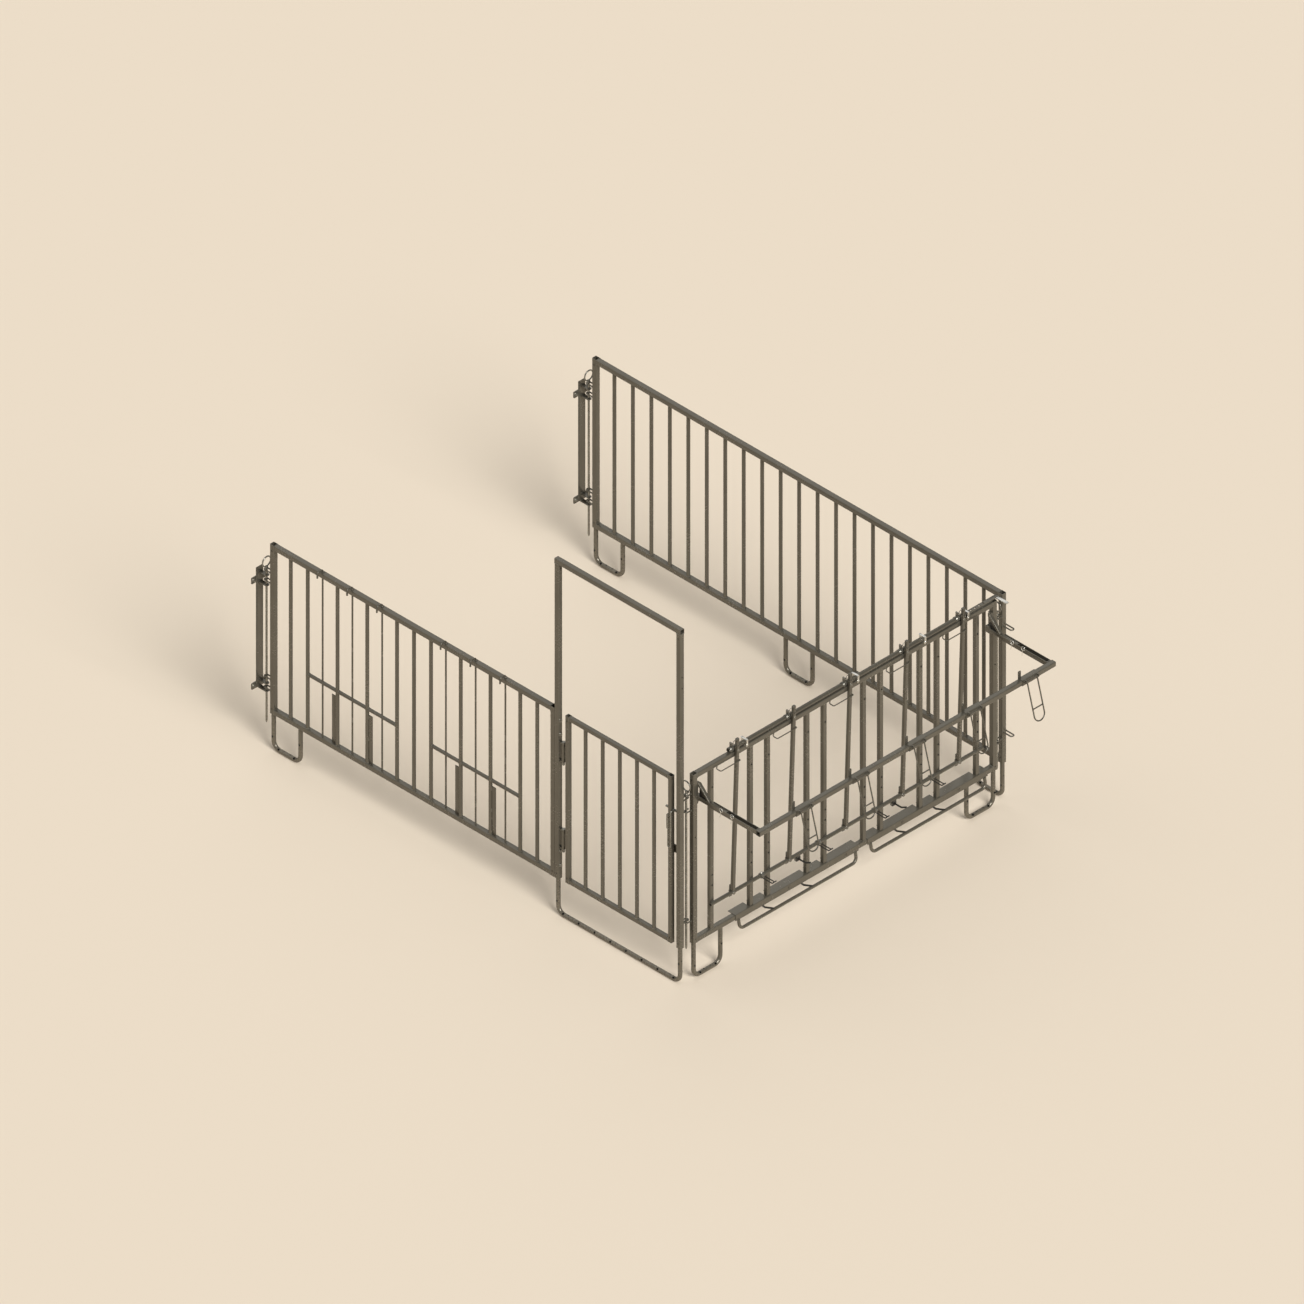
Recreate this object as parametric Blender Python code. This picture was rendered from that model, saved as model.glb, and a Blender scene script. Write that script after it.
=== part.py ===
# Group calf pen: two side panels, a walk-in doorway with a gate, and a feed front with
# five swinging neck bars and a row of bucket loops, standing against a wall.
#
# Every place is given as (across, out, up): across the pen from the near side panel,
# out from the wall-side posts, and up from the floor. In Blender that is x, -y and z.
# All lengths are in metres.

import math

import bmesh
import bpy
from mathutils import Matrix, Vector

# Clearances
GAP = 0.0003             # two pieces that touch
BORE_PLAY = 0.0005       # a round pin or rod in its hole, on the radius
WELD = 0.0008            # how far one welded piece bites into the next
OVER = 0.010             # how far a cut runs past what it cuts
SMOOTH_ANGLE = 50

# Tube and wire sections
TUBE = 0.030             # square tube of the panels and the doorway
WALL = 0.002             # wall of that tube
GATE_TUBE = 0.025        # square tube of the gate
FRONT_BAR = 0.025        # square bars of the feed front
SWING_BAR = 0.020        # square swinging neck bars
BAR_RADIUS = 0.01065     # round bars of the side panels and the gate
ROD_RADIUS = 0.005       # lift-out rods
FOOT_RADIUS = 0.0125     # bent tube of the feet and the threshold
PIN_RADIUS = 0.006       # long joining pins
EYE_RADIUS = 0.004       # bent wire of eyes, loops and braces
PLATE = 0.005            # flat steel

# Heights
TOP = 1.300              # top of the panels
BOTTOM = 0.230           # underside of the panels' lower rails
DOOR_TOP = 2.250         # top of the doorway
FOOT_BEND = 0.045        # radius of the bends in feet and threshold
FOOT_SPREAD = 0.196      # between a foot's two legs
FOOT_ENTRY = 0.060       # how far a leg goes up into a post

# Plan
FAR_SIDE = 2.355         # far panel's plane, across
FAR_LENGTH = 2.970       # far panel, between its posts' middles
FAR_BARS = 21
FAR_BAR_PITCH = FAR_LENGTH / (FAR_BARS + 1)
NEAR_LENGTH = 2.050      # near panel, between its posts' middles
DOOR_START = NEAR_LENGTH + TUBE            # doorway's first post, out
DOOR_END = FAR_LENGTH                      # doorway's second post, out
FRONT_OUT = FAR_LENGTH + TUBE / 2          # plane of the feed front, out
FRONT_LEFT = 0.0825                        # front panel's first post, across
FRONT_RIGHT = FAR_SIDE - FRONT_LEFT        # front panel's last post, across

# Near panel: two groups of three wide gaps, which the lift-out rods close, and two narrow
# gaps before, between and after them
SIDE_GROUPS = 2
SIDE_WIDES = 3
SIDE_NARROW = 0.12417
SIDE_WIDE = (NEAR_LENGTH - 2 * (SIDE_GROUPS + 1) * SIDE_NARROW) / (SIDE_GROUPS * SIDE_WIDES)
MID_RAIL_UP = 0.600
MID_RAIL_RADIUS = 0.01025
GUARD_WIDTH = 0.030
GUARD_UP = (0.250, 0.565)

# Lift-out rods
ROD_FOOT_UP = 0.245
ROD_HOOK = 0.024         # reach of the hooked top past the rail
ROD_HOOK_DROP = 0.035
ROD_BEND = 0.010
ROD_COLLAR = (0.010, 0.004)      # radius and height

# Feed front
PLACES = 5
PLACE_PITCH = 0.413
HEAD_OPENING = 0.288     # between the bars of one place, middle to middle
FIRST_BAR = 0.207        # first bar of the first place, across
PIVOT_FROM_BAR = 0.137   # swinging bar's pivot from its left bar
PIVOT_UP = 0.428
PIVOT_RAIL_RADIUS = 0.01065
PIVOT_PIN_RADIUS = 0.006
PIVOT_HEAD_RADIUS = 0.0095
PIVOT_HEAD = 0.006
SWING_LEAN = 2.0         # degrees the neck bar leans to the right at rest
SWING_RANGE = 8.0        # degrees it swings to the left from there
SWING_TOP = 1.342
SWING_FOOT_LIFT = 0.014  # neck bar's lower end above the pivot
SWING_EAR = 0.032        # ear's reach below the pivot
SWING_EAR_THICK = 0.004
SWING_EAR_RISE = 0.030   # ear's lap on the bar above its lower end
GUIDE_RADIUS = 0.003
GUIDE_UP = 1.250
GUIDE_KNEE = 0.008

# Control rod on the top rail and its pawls
CONTROL_RADIUS = 0.0125
CONTROL_START = 0.335
CONTROL_END = 2.080
CONTROL_STRIP = (0.0235, 0.006)   # width and thickness of the slotted end, inside the guides' holes
CONTROL_STRIP_END = 2.300
ROD_POCKET = 0.040       # open depth of the rod's other end
STRIP_LAP = 0.020        # strip inside the rod's end, and handle on the strip
FIRST_SLOT = 0.030       # first slot past the round rod's end
SLOT_PITCH = 0.030
SLOTS = 4
SLOT_SIZE = (0.010, 0.016)
HANDLE_REACH = 0.090
PAWL_RADIUS = 0.015
ROUND_SIDES = 16         # sides of the control rod and the collars on it
PAWL_THICK = 0.012
PAWL_ROOT = 0.0138       # finger's root and tip above the rod's middle
PAWL_REACH = 0.040
PAWL_FINGER = (0.008, 0.018)     # thickness and width
PAWL_SIDE_GAP = 0.0015
ROD_GUIDES = (0.444, 1.256, 1.746, 2.060)
ROD_GUIDE_FRONT = 0.030  # guide plate before the rail's middle
ROD_GUIDE_BACK = 0.012   # and behind it
ROD_GUIDE_TOP = 1.345
ROD_GUIDE_THICK = 0.005

# Bucket rail
ARM_SIDE = 0.0315        # arm's middle from its post's
ARMS = (FRONT_LEFT + ARM_SIDE, FRONT_RIGHT - ARM_SIDE)
ARM_DROP = 0.165         # arm below the top of the panels
ARM_UP = TOP - ARM_DROP
ARM_TUBE = 0.022
ARM_TUBE_END = FRONT_OUT + 0.215
SLIDER_WALL = 0.003
SLIDER_START = FRONT_OUT + 0.105
RAIL_OUT = FRONT_OUT + 0.455
RAIL_ENDS = (ARMS[0] - 0.015, ARMS[1] + 0.021)
BRACE_TOP = (FRONT_OUT + 0.010, ARM_UP + 0.088)
BRACE_END = (FRONT_OUT + 0.085, ARM_UP + 0.013)
BRACE_RADIUS = 0.008
ARM_TIE = (FRONT_OUT - 0.004, FRONT_OUT + 0.014)
ARM_TIE_HALF = 0.012
ARM_PLATE_DROP = 0.030
ARM_SEAT_HALF = 0.020
HOLDERS = 5
FIRST_HOLDER = 0.423
SLEEVE_LENGTH = 0.117
SLEEVE_WALL = 0.003
TAB_HEIGHT = 0.040
TAB_WIDTH = 0.020
LOOP_WIDTH = 0.073
LOOP_LEG = 0.205
LOOP_TILT = 15.0         # degrees the loops hang outward at rest
LOOP_BAR = 0.80          # cross bar's place down the legs
LOOP_BAR_RADIUS = 0.0036
LOOP_ROD_HALF = 0.054
LOOP_ROUND = 0.98        # bend radius as a share of half the width
EAR_BLOCK = 0.018
EAR_THICK = 0.006

# Lower loops under the feed front
RACKS = ((0.373, 1.271), (1.338, 2.215))
RACK_LIP = 0.038
RACK_DEEP = 0.058
RACK_SHEET = 0.003
RACK_RADIUS = 0.009
RACK_RUN_UP = 0.170
RACK_TILT = 11.0
RACK_BEND = 0.030
RACK_LEG_INSET = 0.022
RACK_LEG_DROP = 0.0035   # leaning wire ends stay below the rail
RACK_BRACES = ((0.197, 0.274), (0.480, 0.557))
RACK_KNEE = (0.018, 0.020)       # first bend of a brace, along and down
RACK_WIRE_BEHIND = 0.001 # wire ends start this far before the sheet's back

# Wall side
WALL_FACE = -0.107
STRIP_WIDTH = 0.050
STRIP_UP = (0.350, 1.110)
ANCHOR_UP = (0.372, 1.040)
ANCHOR_PLATE = (0.120, 0.040)
ANCHOR_HEAD = (0.008, 0.007)     # radius and height
ANCHOR_INSET = 0.014
WALL_TAB_WIDTH = 0.026
WALL_PIN_OUT = -0.053
WALL_PIN_UP = (0.145, 1.135)
WALL_TABS_UP = (0.348, 0.395, 1.016, 1.080)
WALL_EYES_UP = (0.371, 0.440, 1.050, 1.115)
TAB_END = -0.040
RING_RADIUS = 0.030
RING_SIDES = 14
PIN_COLLAR_RADIUS = 0.0096

# Corners
CORNER_GAP = 0.042       # corner pin from the side panel's plane
CORNER_PIN_OUT = FRONT_OUT - 0.013
CORNER_PIN_UP = (0.200, 1.205)
CORNER_SIDE_EYES = (0.386, 1.160)
CORNER_FRONT_EYES = (0.371, 1.070, 1.175)
SPARE_EYES = (0.430, 1.102)
EYE_BEND = 0.0108

# Gate
GATE_STILES = (DOOR_START + 0.074, DOOR_END - 0.065)
GATE_UP = (0.235, 1.290)
GATE_BARS = 5
HINGE_OUT = DOOR_START + 0.038
HINGE_PIN_RADIUS = 0.007
HINGE_SLEEVE_RADIUS = 0.011
HINGE_SLEEVES = ((0.435, 0.545), (0.985, 1.095))
HINGE_TAIL = 0.028
HINGE_HEAD = 0.006
HINGE_LUG = 0.020        # width of the lugs on the doorway post
HINGE_WEB_INSET = 0.015
LATCH_UP = 1.079
LATCH_RADIUS = 0.007
LATCH_ENDS = (DOOR_END - 0.102, DOOR_END - 0.017)     # drawn back, clear of the doorway post
LATCH_LOOP_OUT = DOOR_END - 0.052
LATCH_LOOP_WIDTH = 0.024
LATCH_LOOP_FOOT = 0.851
LATCH_LOOP_BEND = 0.0096
LATCH_LOOP_SIDE = -0.026
LATCH_LOOP_OPEN = 0.020  # gap between the hanging loop's free end and the bolt
LATCH_PLATE_UP = (0.950, 1.040)
LATCH_PLATE = (0.040, 0.004)     # width and thickness
STOP_UP = (0.800, 0.850)
STOP_REACH = 0.060       # stop plate from the doorway post over the gate's stile
BOLT_RADIUS = 0.006
BOLT_HEAD_RADIUS = 0.0095
BOLT_HEAD = 0.008
BOLTS_UP = (0.314, 0.405, 1.143, 1.229)

# Colours
STEEL = (0.135, 0.125, 0.105)
DARK_STEEL = (0.075, 0.068, 0.056)
BRIGHT_STEEL = (0.520, 0.500, 0.450)


def start_clean():
    for ob in list(bpy.data.objects):
        bpy.data.objects.remove(ob)
    for name in ("calf_pen", "cutters"):
        bpy.context.scene.collection.children.link(bpy.data.collections.new(name))


def make_material(name, colour, roughness, metallic):
    material = bpy.data.materials.new(name)
    material.use_nodes = True
    shader = material.node_tree.nodes["Principled BSDF"]
    shader.inputs["Base Color"].default_value = (*colour, 1)
    shader.inputs["Roughness"].default_value = roughness
    shader.inputs["Metallic"].default_value = metallic
    material.diffuse_color = (*colour, 1)
    return material


def place(point):
    across, out, up = point
    return Vector((across, -out, up))


def shape(bm, name="shape"):
    mesh = bpy.data.meshes.new(name)
    bm.to_mesh(mesh)
    bm.free()
    ob = bpy.data.objects.new(name, mesh)
    ob.hide_render = True
    ob.display_type = "WIRE"
    bpy.data.collections["cutters"].objects.link(ob)
    return ob


def block(across, out, up):
    low = Vector((across[0], -out[1], up[0]))
    high = Vector((across[1], -out[0], up[1]))
    bm = bmesh.new()
    bmesh.ops.create_cube(bm, size=1)
    size = Matrix.Diagonal((*(high - low), 1))
    bm.transform(Matrix.Translation((low + high) / 2) @ size)
    return shape(bm)


def upright(across, out, up, width):
    half = width / 2
    return block((across - half, across + half), (out - half, out + half), up)


def rod(start, end, radius, sides=10):
    a = place(start)
    b = place(end)
    bm = bmesh.new()
    bmesh.ops.create_cone(
        bm, cap_ends=True, segments=sides, radius1=radius, radius2=radius, depth=(b - a).length)
    turn = (b - a).to_track_quat("Z", "Y").to_matrix().to_4x4()
    bm.transform(Matrix.Translation((a + b) / 2) @ turn)
    return shape(bm)


# A hole whose flat sides lie at its radius, so that a round pin can turn in it
def bore(start, end, radius, sides=12):
    return rod(start, end, radius / math.cos(math.pi / sides), sides)


def rounded_path(points, bend, steps):
    path = [points[0]]
    for before, corner, after in zip(points, points[1:], points[2:]):
        back = (before - corner).normalized()
        ahead = (after - corner).normalized()
        half = back.angle(ahead) / 2
        reach = bend / math.tan(half)
        middle = corner + (back + ahead).normalized() * bend / math.sin(half)
        first = corner + back * reach - middle
        last = corner + ahead * reach - middle
        sweep = first.angle(last)
        for step in range(steps + 1):
            share = step / steps
            arm = first * math.sin((1 - share) * sweep) + last * math.sin(share * sweep)
            path.append(middle + arm / math.sin(sweep))
    path.append(points[-1])
    return path


def mesh_of(ob, name):
    graph = bpy.context.evaluated_depsgraph_get()
    mesh = bpy.data.meshes.new_from_object(ob.evaluated_get(graph), depsgraph=graph)
    bm = bmesh.new()
    bm.from_mesh(mesh)
    bmesh.ops.remove_doubles(bm, verts=bm.verts, dist=0.00001)
    bm.transform(ob.matrix_world)
    bpy.data.objects.remove(ob)
    return shape(bm, name)


def tube_along(path, radius, level, tilt=0.0, closed=False):
    curve = bpy.data.curves.new("wire", "CURVE")
    curve.dimensions = "3D"
    curve.bevel_depth = radius
    curve.bevel_resolution = level
    curve.use_fill_caps = not closed
    spline = curve.splines.new("POLY")
    spline.points.add(len(path) - 1)
    for knot, point in zip(spline.points, path):
        knot.co = (*point, 1)
        knot.tilt = tilt
    spline.use_cyclic_u = closed
    ob = bpy.data.objects.new("wire", curve)
    bpy.data.collections["cutters"].objects.link(ob)
    bpy.context.view_layer.update()
    return mesh_of(ob, "wire")


def wire(points, radius, bend, level=1, steps=3, tilt=0.0):
    return tube_along(rounded_path([place(p) for p in points], bend, steps), radius, level, tilt)


def combine(base, others, operation):
    if not others:
        return base
    group = bpy.data.collections.new("operands")
    bpy.context.scene.collection.children.link(group)
    for ob in others:
        group.objects.link(ob)
    modifier = base.modifiers.new("Combine", "BOOLEAN")
    modifier.operation = operation
    modifier.operand_type = "COLLECTION"
    modifier.collection = group
    modifier.solver = "EXACT"
    bpy.context.view_layer.update()
    result = mesh_of(base, "combined")
    for ob in others:
        bpy.data.objects.remove(ob)
    bpy.data.collections.remove(group)
    return result


def part(name, shapes, material, cuts=(), origin=None, round_part=False):
    ob = combine(shapes[0], shapes[1:], "UNION")
    ob = combine(ob, list(cuts), "DIFFERENCE")
    bpy.data.collections["cutters"].objects.unlink(ob)
    bpy.data.collections["calf_pen"].objects.link(ob)
    ob.name = name
    ob.data.name = name
    ob.hide_render = False
    ob.display_type = "TEXTURED"
    ob.data.materials.clear()
    ob.data.materials.append(material)
    if origin:
        spot = place(origin)
        ob.data.transform(Matrix.Translation(-spot))
        ob.location = spot
    if round_part:
        ob.data.shade_smooth()
        ob.data.set_sharp_from_angle(angle=math.radians(SMOOTH_ANGLE))
    return ob


def carry(child, parent):
    bpy.context.view_layer.update()
    child.parent = parent
    child.matrix_parent_inverse = parent.matrix_world.inverted()


# A flat wire eye on a post: it reaches along one level direction and rounds the pin.
def eye(pin, base, up):
    toward = Vector((pin[0] - base[0], pin[1] - base[1]))
    toward.normalize()
    side = Vector((-toward.y, toward.x)) * EYE_BEND
    start = Vector(base) - toward * WELD
    nose = Vector(pin) + toward * EYE_BEND
    flat = [start - side, nose - side, nose + side, start + side]
    return wire([(p.x, p.y, up) for p in flat], EYE_RADIUS, EYE_BEND * LOOP_ROUND, steps=3)


def post_shapes(across, out, up=(BOTTOM, TOP)):
    return upright(across, out, up, TUBE)


def post_bore(across, out, low, high):
    return upright(across, out, (low, high), TUBE - 2 * WALL)


def rail_along_out(across, out, low, size=TUBE):
    half = size / 2
    return block((across - half, across + half), out, (low, low + size))


def rail_along_across(across, out, low, size=TUBE):
    half = size / 2
    return block(across, (out - half, out + half), (low, low + size))


def far_panel(steel):
    half = TUBE / 2
    span = (half - WELD, FAR_LENGTH - half + WELD)
    shapes = [
        post_shapes(FAR_SIDE, 0.0),
        post_shapes(FAR_SIDE, FAR_LENGTH),
        rail_along_out(FAR_SIDE, span, BOTTOM),
        rail_along_out(FAR_SIDE, span, TOP - TUBE)]
    first = (FAR_LENGTH - (FAR_BARS - 1) * FAR_BAR_PITCH) / 2
    for index in range(FAR_BARS):
        out = first + index * FAR_BAR_PITCH
        low = BOTTOM + TUBE - WELD
        shapes.append(rod((FAR_SIDE, out, low), (FAR_SIDE, out, TOP - TUBE + WELD), BAR_RADIUS, 8))
    for up in WALL_EYES_UP:
        shapes.append(eye((FAR_SIDE, WALL_PIN_OUT), (FAR_SIDE, -half), up))
    for up in SPARE_EYES:
        tip = FAR_LENGTH + half - WALL_PIN_OUT
        shapes.append(eye((FAR_SIDE, tip), (FAR_SIDE, FAR_LENGTH + half), up))
    for up in CORNER_SIDE_EYES:
        pin = (FAR_SIDE - CORNER_GAP, CORNER_PIN_OUT)
        shapes.append(eye(pin, (FAR_SIDE - half, CORNER_PIN_OUT), up))
    cuts = [post_bore(FAR_SIDE, out, BOTTOM - OVER, TOP + OVER) for out in (0.0, FAR_LENGTH)]
    return part("far_side_panel", shapes, steel, cuts)


# First bar of each group's wide gaps
def group_starts():
    length = 2 * SIDE_NARROW + SIDE_WIDES * SIDE_WIDE
    return [2 * SIDE_NARROW + index * length for index in range(SIDE_GROUPS)]


def side_bars():
    bars = []
    for start in group_starts():
        bars.append(start - SIDE_NARROW)
        for index in range(SIDE_WIDES + 1):
            bars.append(start + index * SIDE_WIDE)
    bars.append(NEAR_LENGTH - SIDE_NARROW)
    return bars


def rod_places():
    places = []
    for start in group_starts():
        for index in range(SIDE_WIDES):
            places.append(start + (index + 0.5) * SIDE_WIDE)
    return places


def near_panel(steel):
    half = TUBE / 2
    span = (half - WELD, NEAR_LENGTH - half + WELD)
    low = BOTTOM + TUBE
    shapes = [
        post_shapes(0.0, 0.0),
        post_shapes(0.0, NEAR_LENGTH),
        rail_along_out(0.0, span, BOTTOM),
        rail_along_out(0.0, span, TOP - TUBE)]
    for out in side_bars():
        shapes.append(rod((0, out, low - WELD), (0, out, TOP - TUBE + WELD), BAR_RADIUS, 8))
    for start in group_starts():
        end = start + SIDE_WIDES * SIDE_WIDE
        rail = ((0, start, MID_RAIL_UP), (0, end, MID_RAIL_UP))
        shapes.append(rod(*rail, MID_RAIL_RADIUS, 8))
        for bar, way in ((start + SIDE_WIDE, -1), (end - SIDE_WIDE, 1)):
            inner = bar + way * (BAR_RADIUS - 2 * WELD)
            outer = inner + way * GUARD_WIDTH
            edges = (min(inner, outer), max(inner, outer))
            shapes.append(block((-PLATE / 2, PLATE / 2), edges, GUARD_UP))
    for up in WALL_EYES_UP:
        shapes.append(eye((0, WALL_PIN_OUT), (0, -half), up))
    cuts = [post_bore(0.0, out, BOTTOM - OVER, TOP + OVER) for out in (0.0, NEAR_LENGTH)]
    hole = ROD_RADIUS + BORE_PLAY
    for out in rod_places():
        cuts.append(rod((0, out, ROD_FOOT_UP - GAP), (0, out, TOP + OVER), hole, 8))
    for up in BOLTS_UP:
        ends = ((0, NEAR_LENGTH - TUBE, up), (0, NEAR_LENGTH + TUBE, up))
        cuts.append(rod(*ends, BOLT_RADIUS + BORE_PLAY, 8))
    return part("near_side_panel", shapes, steel, cuts)


def lift_out_rods(steel):
    side = -TUBE / 2 - ROD_HOOK
    lift = TOP + ROD_RADIUS + ROD_BEND
    for index, out in enumerate(rod_places()):
        points = [
            (0, out, ROD_FOOT_UP), (0, out, lift), (side, out, lift),
            (side, out, lift - ROD_HOOK_DROP)]
        bent = wire(points, ROD_RADIUS, ROD_BEND, level=2, steps=3)
        wide, tall = ROD_COLLAR
        collar = rod((0, out, TOP + GAP), (0, out, TOP + GAP + tall), wide, 8)
        origin = (0, out, ROD_FOOT_UP)
        part(f"lift_out_rod_{index + 1}", [bent, collar], steel, origin=origin, round_part=True)


def doorway(steel):
    half = TUBE / 2
    posts_top = DOOR_TOP - TUBE + WELD
    shapes = [
        post_shapes(0.0, DOOR_START, (BOTTOM, posts_top)),
        post_shapes(0.0, DOOR_END, (BOTTOM, posts_top)),
        rail_along_out(0.0, (DOOR_START - half, DOOR_END + half), DOOR_TOP - TUBE)]
    for sleeve in HINGE_SLEEVES:
        for up in (sleeve[0] - GAP - PLATE, sleeve[1] + GAP):
            reach = (DOOR_START + half - WELD, HINGE_OUT + HINGE_SLEEVE_RADIUS)
            shapes.append(block((-HINGE_LUG / 2, HINGE_LUG / 2), reach, (up, up + PLATE)))
    stop_out = (DOOR_END - half - STOP_REACH, DOOR_END - half + WALL)
    stop_side = GATE_TUBE / 2 + GAP
    shapes.append(block((stop_side, stop_side + PLATE), stop_out, STOP_UP))
    for up in CORNER_SIDE_EYES:
        shapes.append(eye((CORNER_GAP, CORNER_PIN_OUT), (half, CORNER_PIN_OUT), up))
    cuts = [
        post_bore(0.0, DOOR_START, BOTTOM - OVER, posts_top - 2 * WALL),
        post_bore(0.0, DOOR_END, BOTTOM - OVER, posts_top - 2 * WALL),
        block((-half + WALL, half - WALL), (DOOR_START - TUBE, DOOR_END + TUBE),
              (DOOR_TOP - TUBE + WALL, DOOR_TOP - WALL))]
    for sleeve in HINGE_SLEEVES:
        ends = ((0, HINGE_OUT, sleeve[0] - TUBE), (0, HINGE_OUT, sleeve[1] + TUBE))
        cuts.append(bore(*ends, HINGE_PIN_RADIUS + BORE_PLAY))
    for up in BOLTS_UP:
        ends = ((0, DOOR_START - TUBE, up), (0, DOOR_START + TUBE, up))
        cuts.append(rod(*ends, BOLT_RADIUS + BORE_PLAY, 8))
    bolt_hole = ((0, DOOR_END - TUBE, LATCH_UP), (0, DOOR_END, LATCH_UP))
    cuts.append(rod(*bolt_hole, LATCH_RADIUS + 2 * BORE_PLAY, 8))
    part("doorway_frame", shapes, steel, cuts)


# A foot tube is bent twice and stands on a flat side of its eight, which lies at its radius.
def foot_tube(name, steel, first, second, first_up, second_up):
    floor = FOOT_RADIUS
    turn = math.pi / 8
    points = [(*first, first_up), (*first, floor), (*second, floor), (*second, second_up)]
    bent = wire(points, FOOT_RADIUS / math.cos(turn), FOOT_BEND, level=2, steps=4, tilt=turn)
    return part(name, [bent], steel, round_part=True)


def threshold(steel):
    ends_up = BOTTOM + FOOT_ENTRY
    foot_tube("doorway_threshold", steel, (0, DOOR_START), (0, DOOR_END), ends_up, ends_up)


# One leg goes up into a post, or both stop under the rail.
def foot(name, steel, first, second, first_in_post):
    under = BOTTOM - GAP
    first_up = BOTTOM + FOOT_ENTRY if first_in_post else under
    return foot_tube(name, steel, first, second, first_up, under)


def feet(steel):
    step = FOOT_SPREAD
    middle = FAR_LENGTH / 2
    foot("near_wall_foot", steel, (0, 0), (0, step), True)
    foot("far_wall_foot", steel, (FAR_SIDE, 0), (FAR_SIDE, step), True)
    foot("far_middle_foot", steel, (FAR_SIDE, middle - step / 2), (FAR_SIDE, middle + step / 2), False)
    foot("far_front_foot", steel, (FAR_SIDE, FAR_LENGTH), (FAR_SIDE, FAR_LENGTH - step), True)
    foot("front_left_foot", steel, (FRONT_LEFT, FRONT_OUT), (FRONT_LEFT + step, FRONT_OUT), True)
    foot("front_right_foot", steel, (FRONT_RIGHT, FRONT_OUT), (FRONT_RIGHT - step, FRONT_OUT), True)


def gate(steel, bright):
    half = GATE_TUBE / 2
    hinge_side, latch_side = GATE_STILES
    span = (hinge_side + half - WELD, latch_side - half + WELD)
    low, high = GATE_UP
    shapes = [
        upright(0, hinge_side, GATE_UP, GATE_TUBE),
        upright(0, latch_side, GATE_UP, GATE_TUBE),
        rail_along_out(0, span, low, GATE_TUBE),
        rail_along_out(0, span, high - GATE_TUBE, GATE_TUBE)]
    pitch = (latch_side - hinge_side) / (GATE_BARS + 1)
    for index in range(GATE_BARS):
        out = hinge_side + (index + 1) * pitch
        ends = ((0, out, low + GATE_TUBE - WELD), (0, out, high - GATE_TUBE + WELD))
        shapes.append(rod(*ends, BAR_RADIUS, 8))
    cuts = []
    for sleeve in HINGE_SLEEVES:
        shapes.append(rod((0, HINGE_OUT, sleeve[0]), (0, HINGE_OUT, sleeve[1]), HINGE_SLEEVE_RADIUS, 12))
        reach = (HINGE_OUT + HINGE_PIN_RADIUS + WELD, hinge_side - half + WELD)
        web = (sleeve[0] + HINGE_WEB_INSET, sleeve[1] - HINGE_WEB_INSET)
        shapes.append(block((-PLATE / 2, PLATE / 2), reach, web))
        ends = ((0, HINGE_OUT, sleeve[0] - OVER), (0, HINGE_OUT, sleeve[1] + OVER))
        cuts.append(bore(*ends, HINGE_PIN_RADIUS + BORE_PLAY))
    wide, thick = LATCH_PLATE
    plate_out = (latch_side - wide / 2, latch_side + wide / 2)
    shapes.append(block((-half - thick, -half + WELD), plate_out, LATCH_PLATE_UP))
    ends = ((0, latch_side - GATE_TUBE, LATCH_UP), (0, latch_side + GATE_TUBE, LATCH_UP))
    cuts.append(rod(*ends, LATCH_RADIUS + BORE_PLAY, 8))
    frame = part("gate_frame", shapes, steel, cuts, origin=(0, HINGE_OUT, 0))

    for name, sleeve in zip(("lower", "upper"), HINGE_SLEEVES):
        low_end = sleeve[0] - HINGE_TAIL
        high_end = sleeve[1] + PLATE + 2 * GAP
        stem = rod((0, HINGE_OUT, low_end), (0, HINGE_OUT, high_end + WELD), HINGE_PIN_RADIUS, 12)
        head = rod((0, HINGE_OUT, high_end), (0, HINGE_OUT, high_end + HINGE_HEAD), HINGE_SLEEVE_RADIUS, 8)
        part(f"{name}_hinge_pin", [stem, head], bright, round_part=True)

    bolt = rod((0, LATCH_ENDS[0], LATCH_UP), (0, LATCH_ENDS[1], LATCH_UP), LATCH_RADIUS, 8)
    side = LATCH_LOOP_WIDTH / 2
    outs = (LATCH_LOOP_OUT - side, LATCH_LOOP_OUT + side)
    stub = rod((0, outs[1] - EYE_RADIUS, LATCH_UP), (LATCH_LOOP_SIDE, outs[1] - EYE_RADIUS, LATCH_UP),
               EYE_RADIUS, 6)
    stub_end = LATCH_UP - EYE_RADIUS
    loop = wire([
        (LATCH_LOOP_SIDE, outs[1] - EYE_RADIUS, stub_end + 2 * EYE_RADIUS),
        (LATCH_LOOP_SIDE, outs[1] - EYE_RADIUS, LATCH_LOOP_FOOT),
        (LATCH_LOOP_SIDE, outs[0], LATCH_LOOP_FOOT),
        (LATCH_LOOP_SIDE, outs[0], LATCH_UP - LATCH_LOOP_OPEN)], EYE_RADIUS, LATCH_LOOP_BEND, steps=3)
    latch = part("gate_latch_bolt", [bolt, stub, loop], bright, origin=(0, LATCH_ENDS[1], LATCH_UP))
    carry(latch, frame)


def panel_bolts(bright):
    start = NEAR_LENGTH - TUBE / 2
    end = DOOR_START + TUBE / 2
    for index, up in enumerate(BOLTS_UP):
        shank = rod((0, start - BOLT_HEAD - GAP, up), (0, end + BOLT_HEAD + GAP, up), BOLT_RADIUS, 8)
        head = rod((0, end + GAP, up), (0, end + GAP + BOLT_HEAD, up), BOLT_HEAD_RADIUS, 6)
        nut = rod((0, start - GAP - BOLT_HEAD, up), (0, start - GAP, up), BOLT_HEAD_RADIUS, 6)
        part(f"panel_bolt_{index + 1}", [shank, head, nut], bright)


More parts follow.
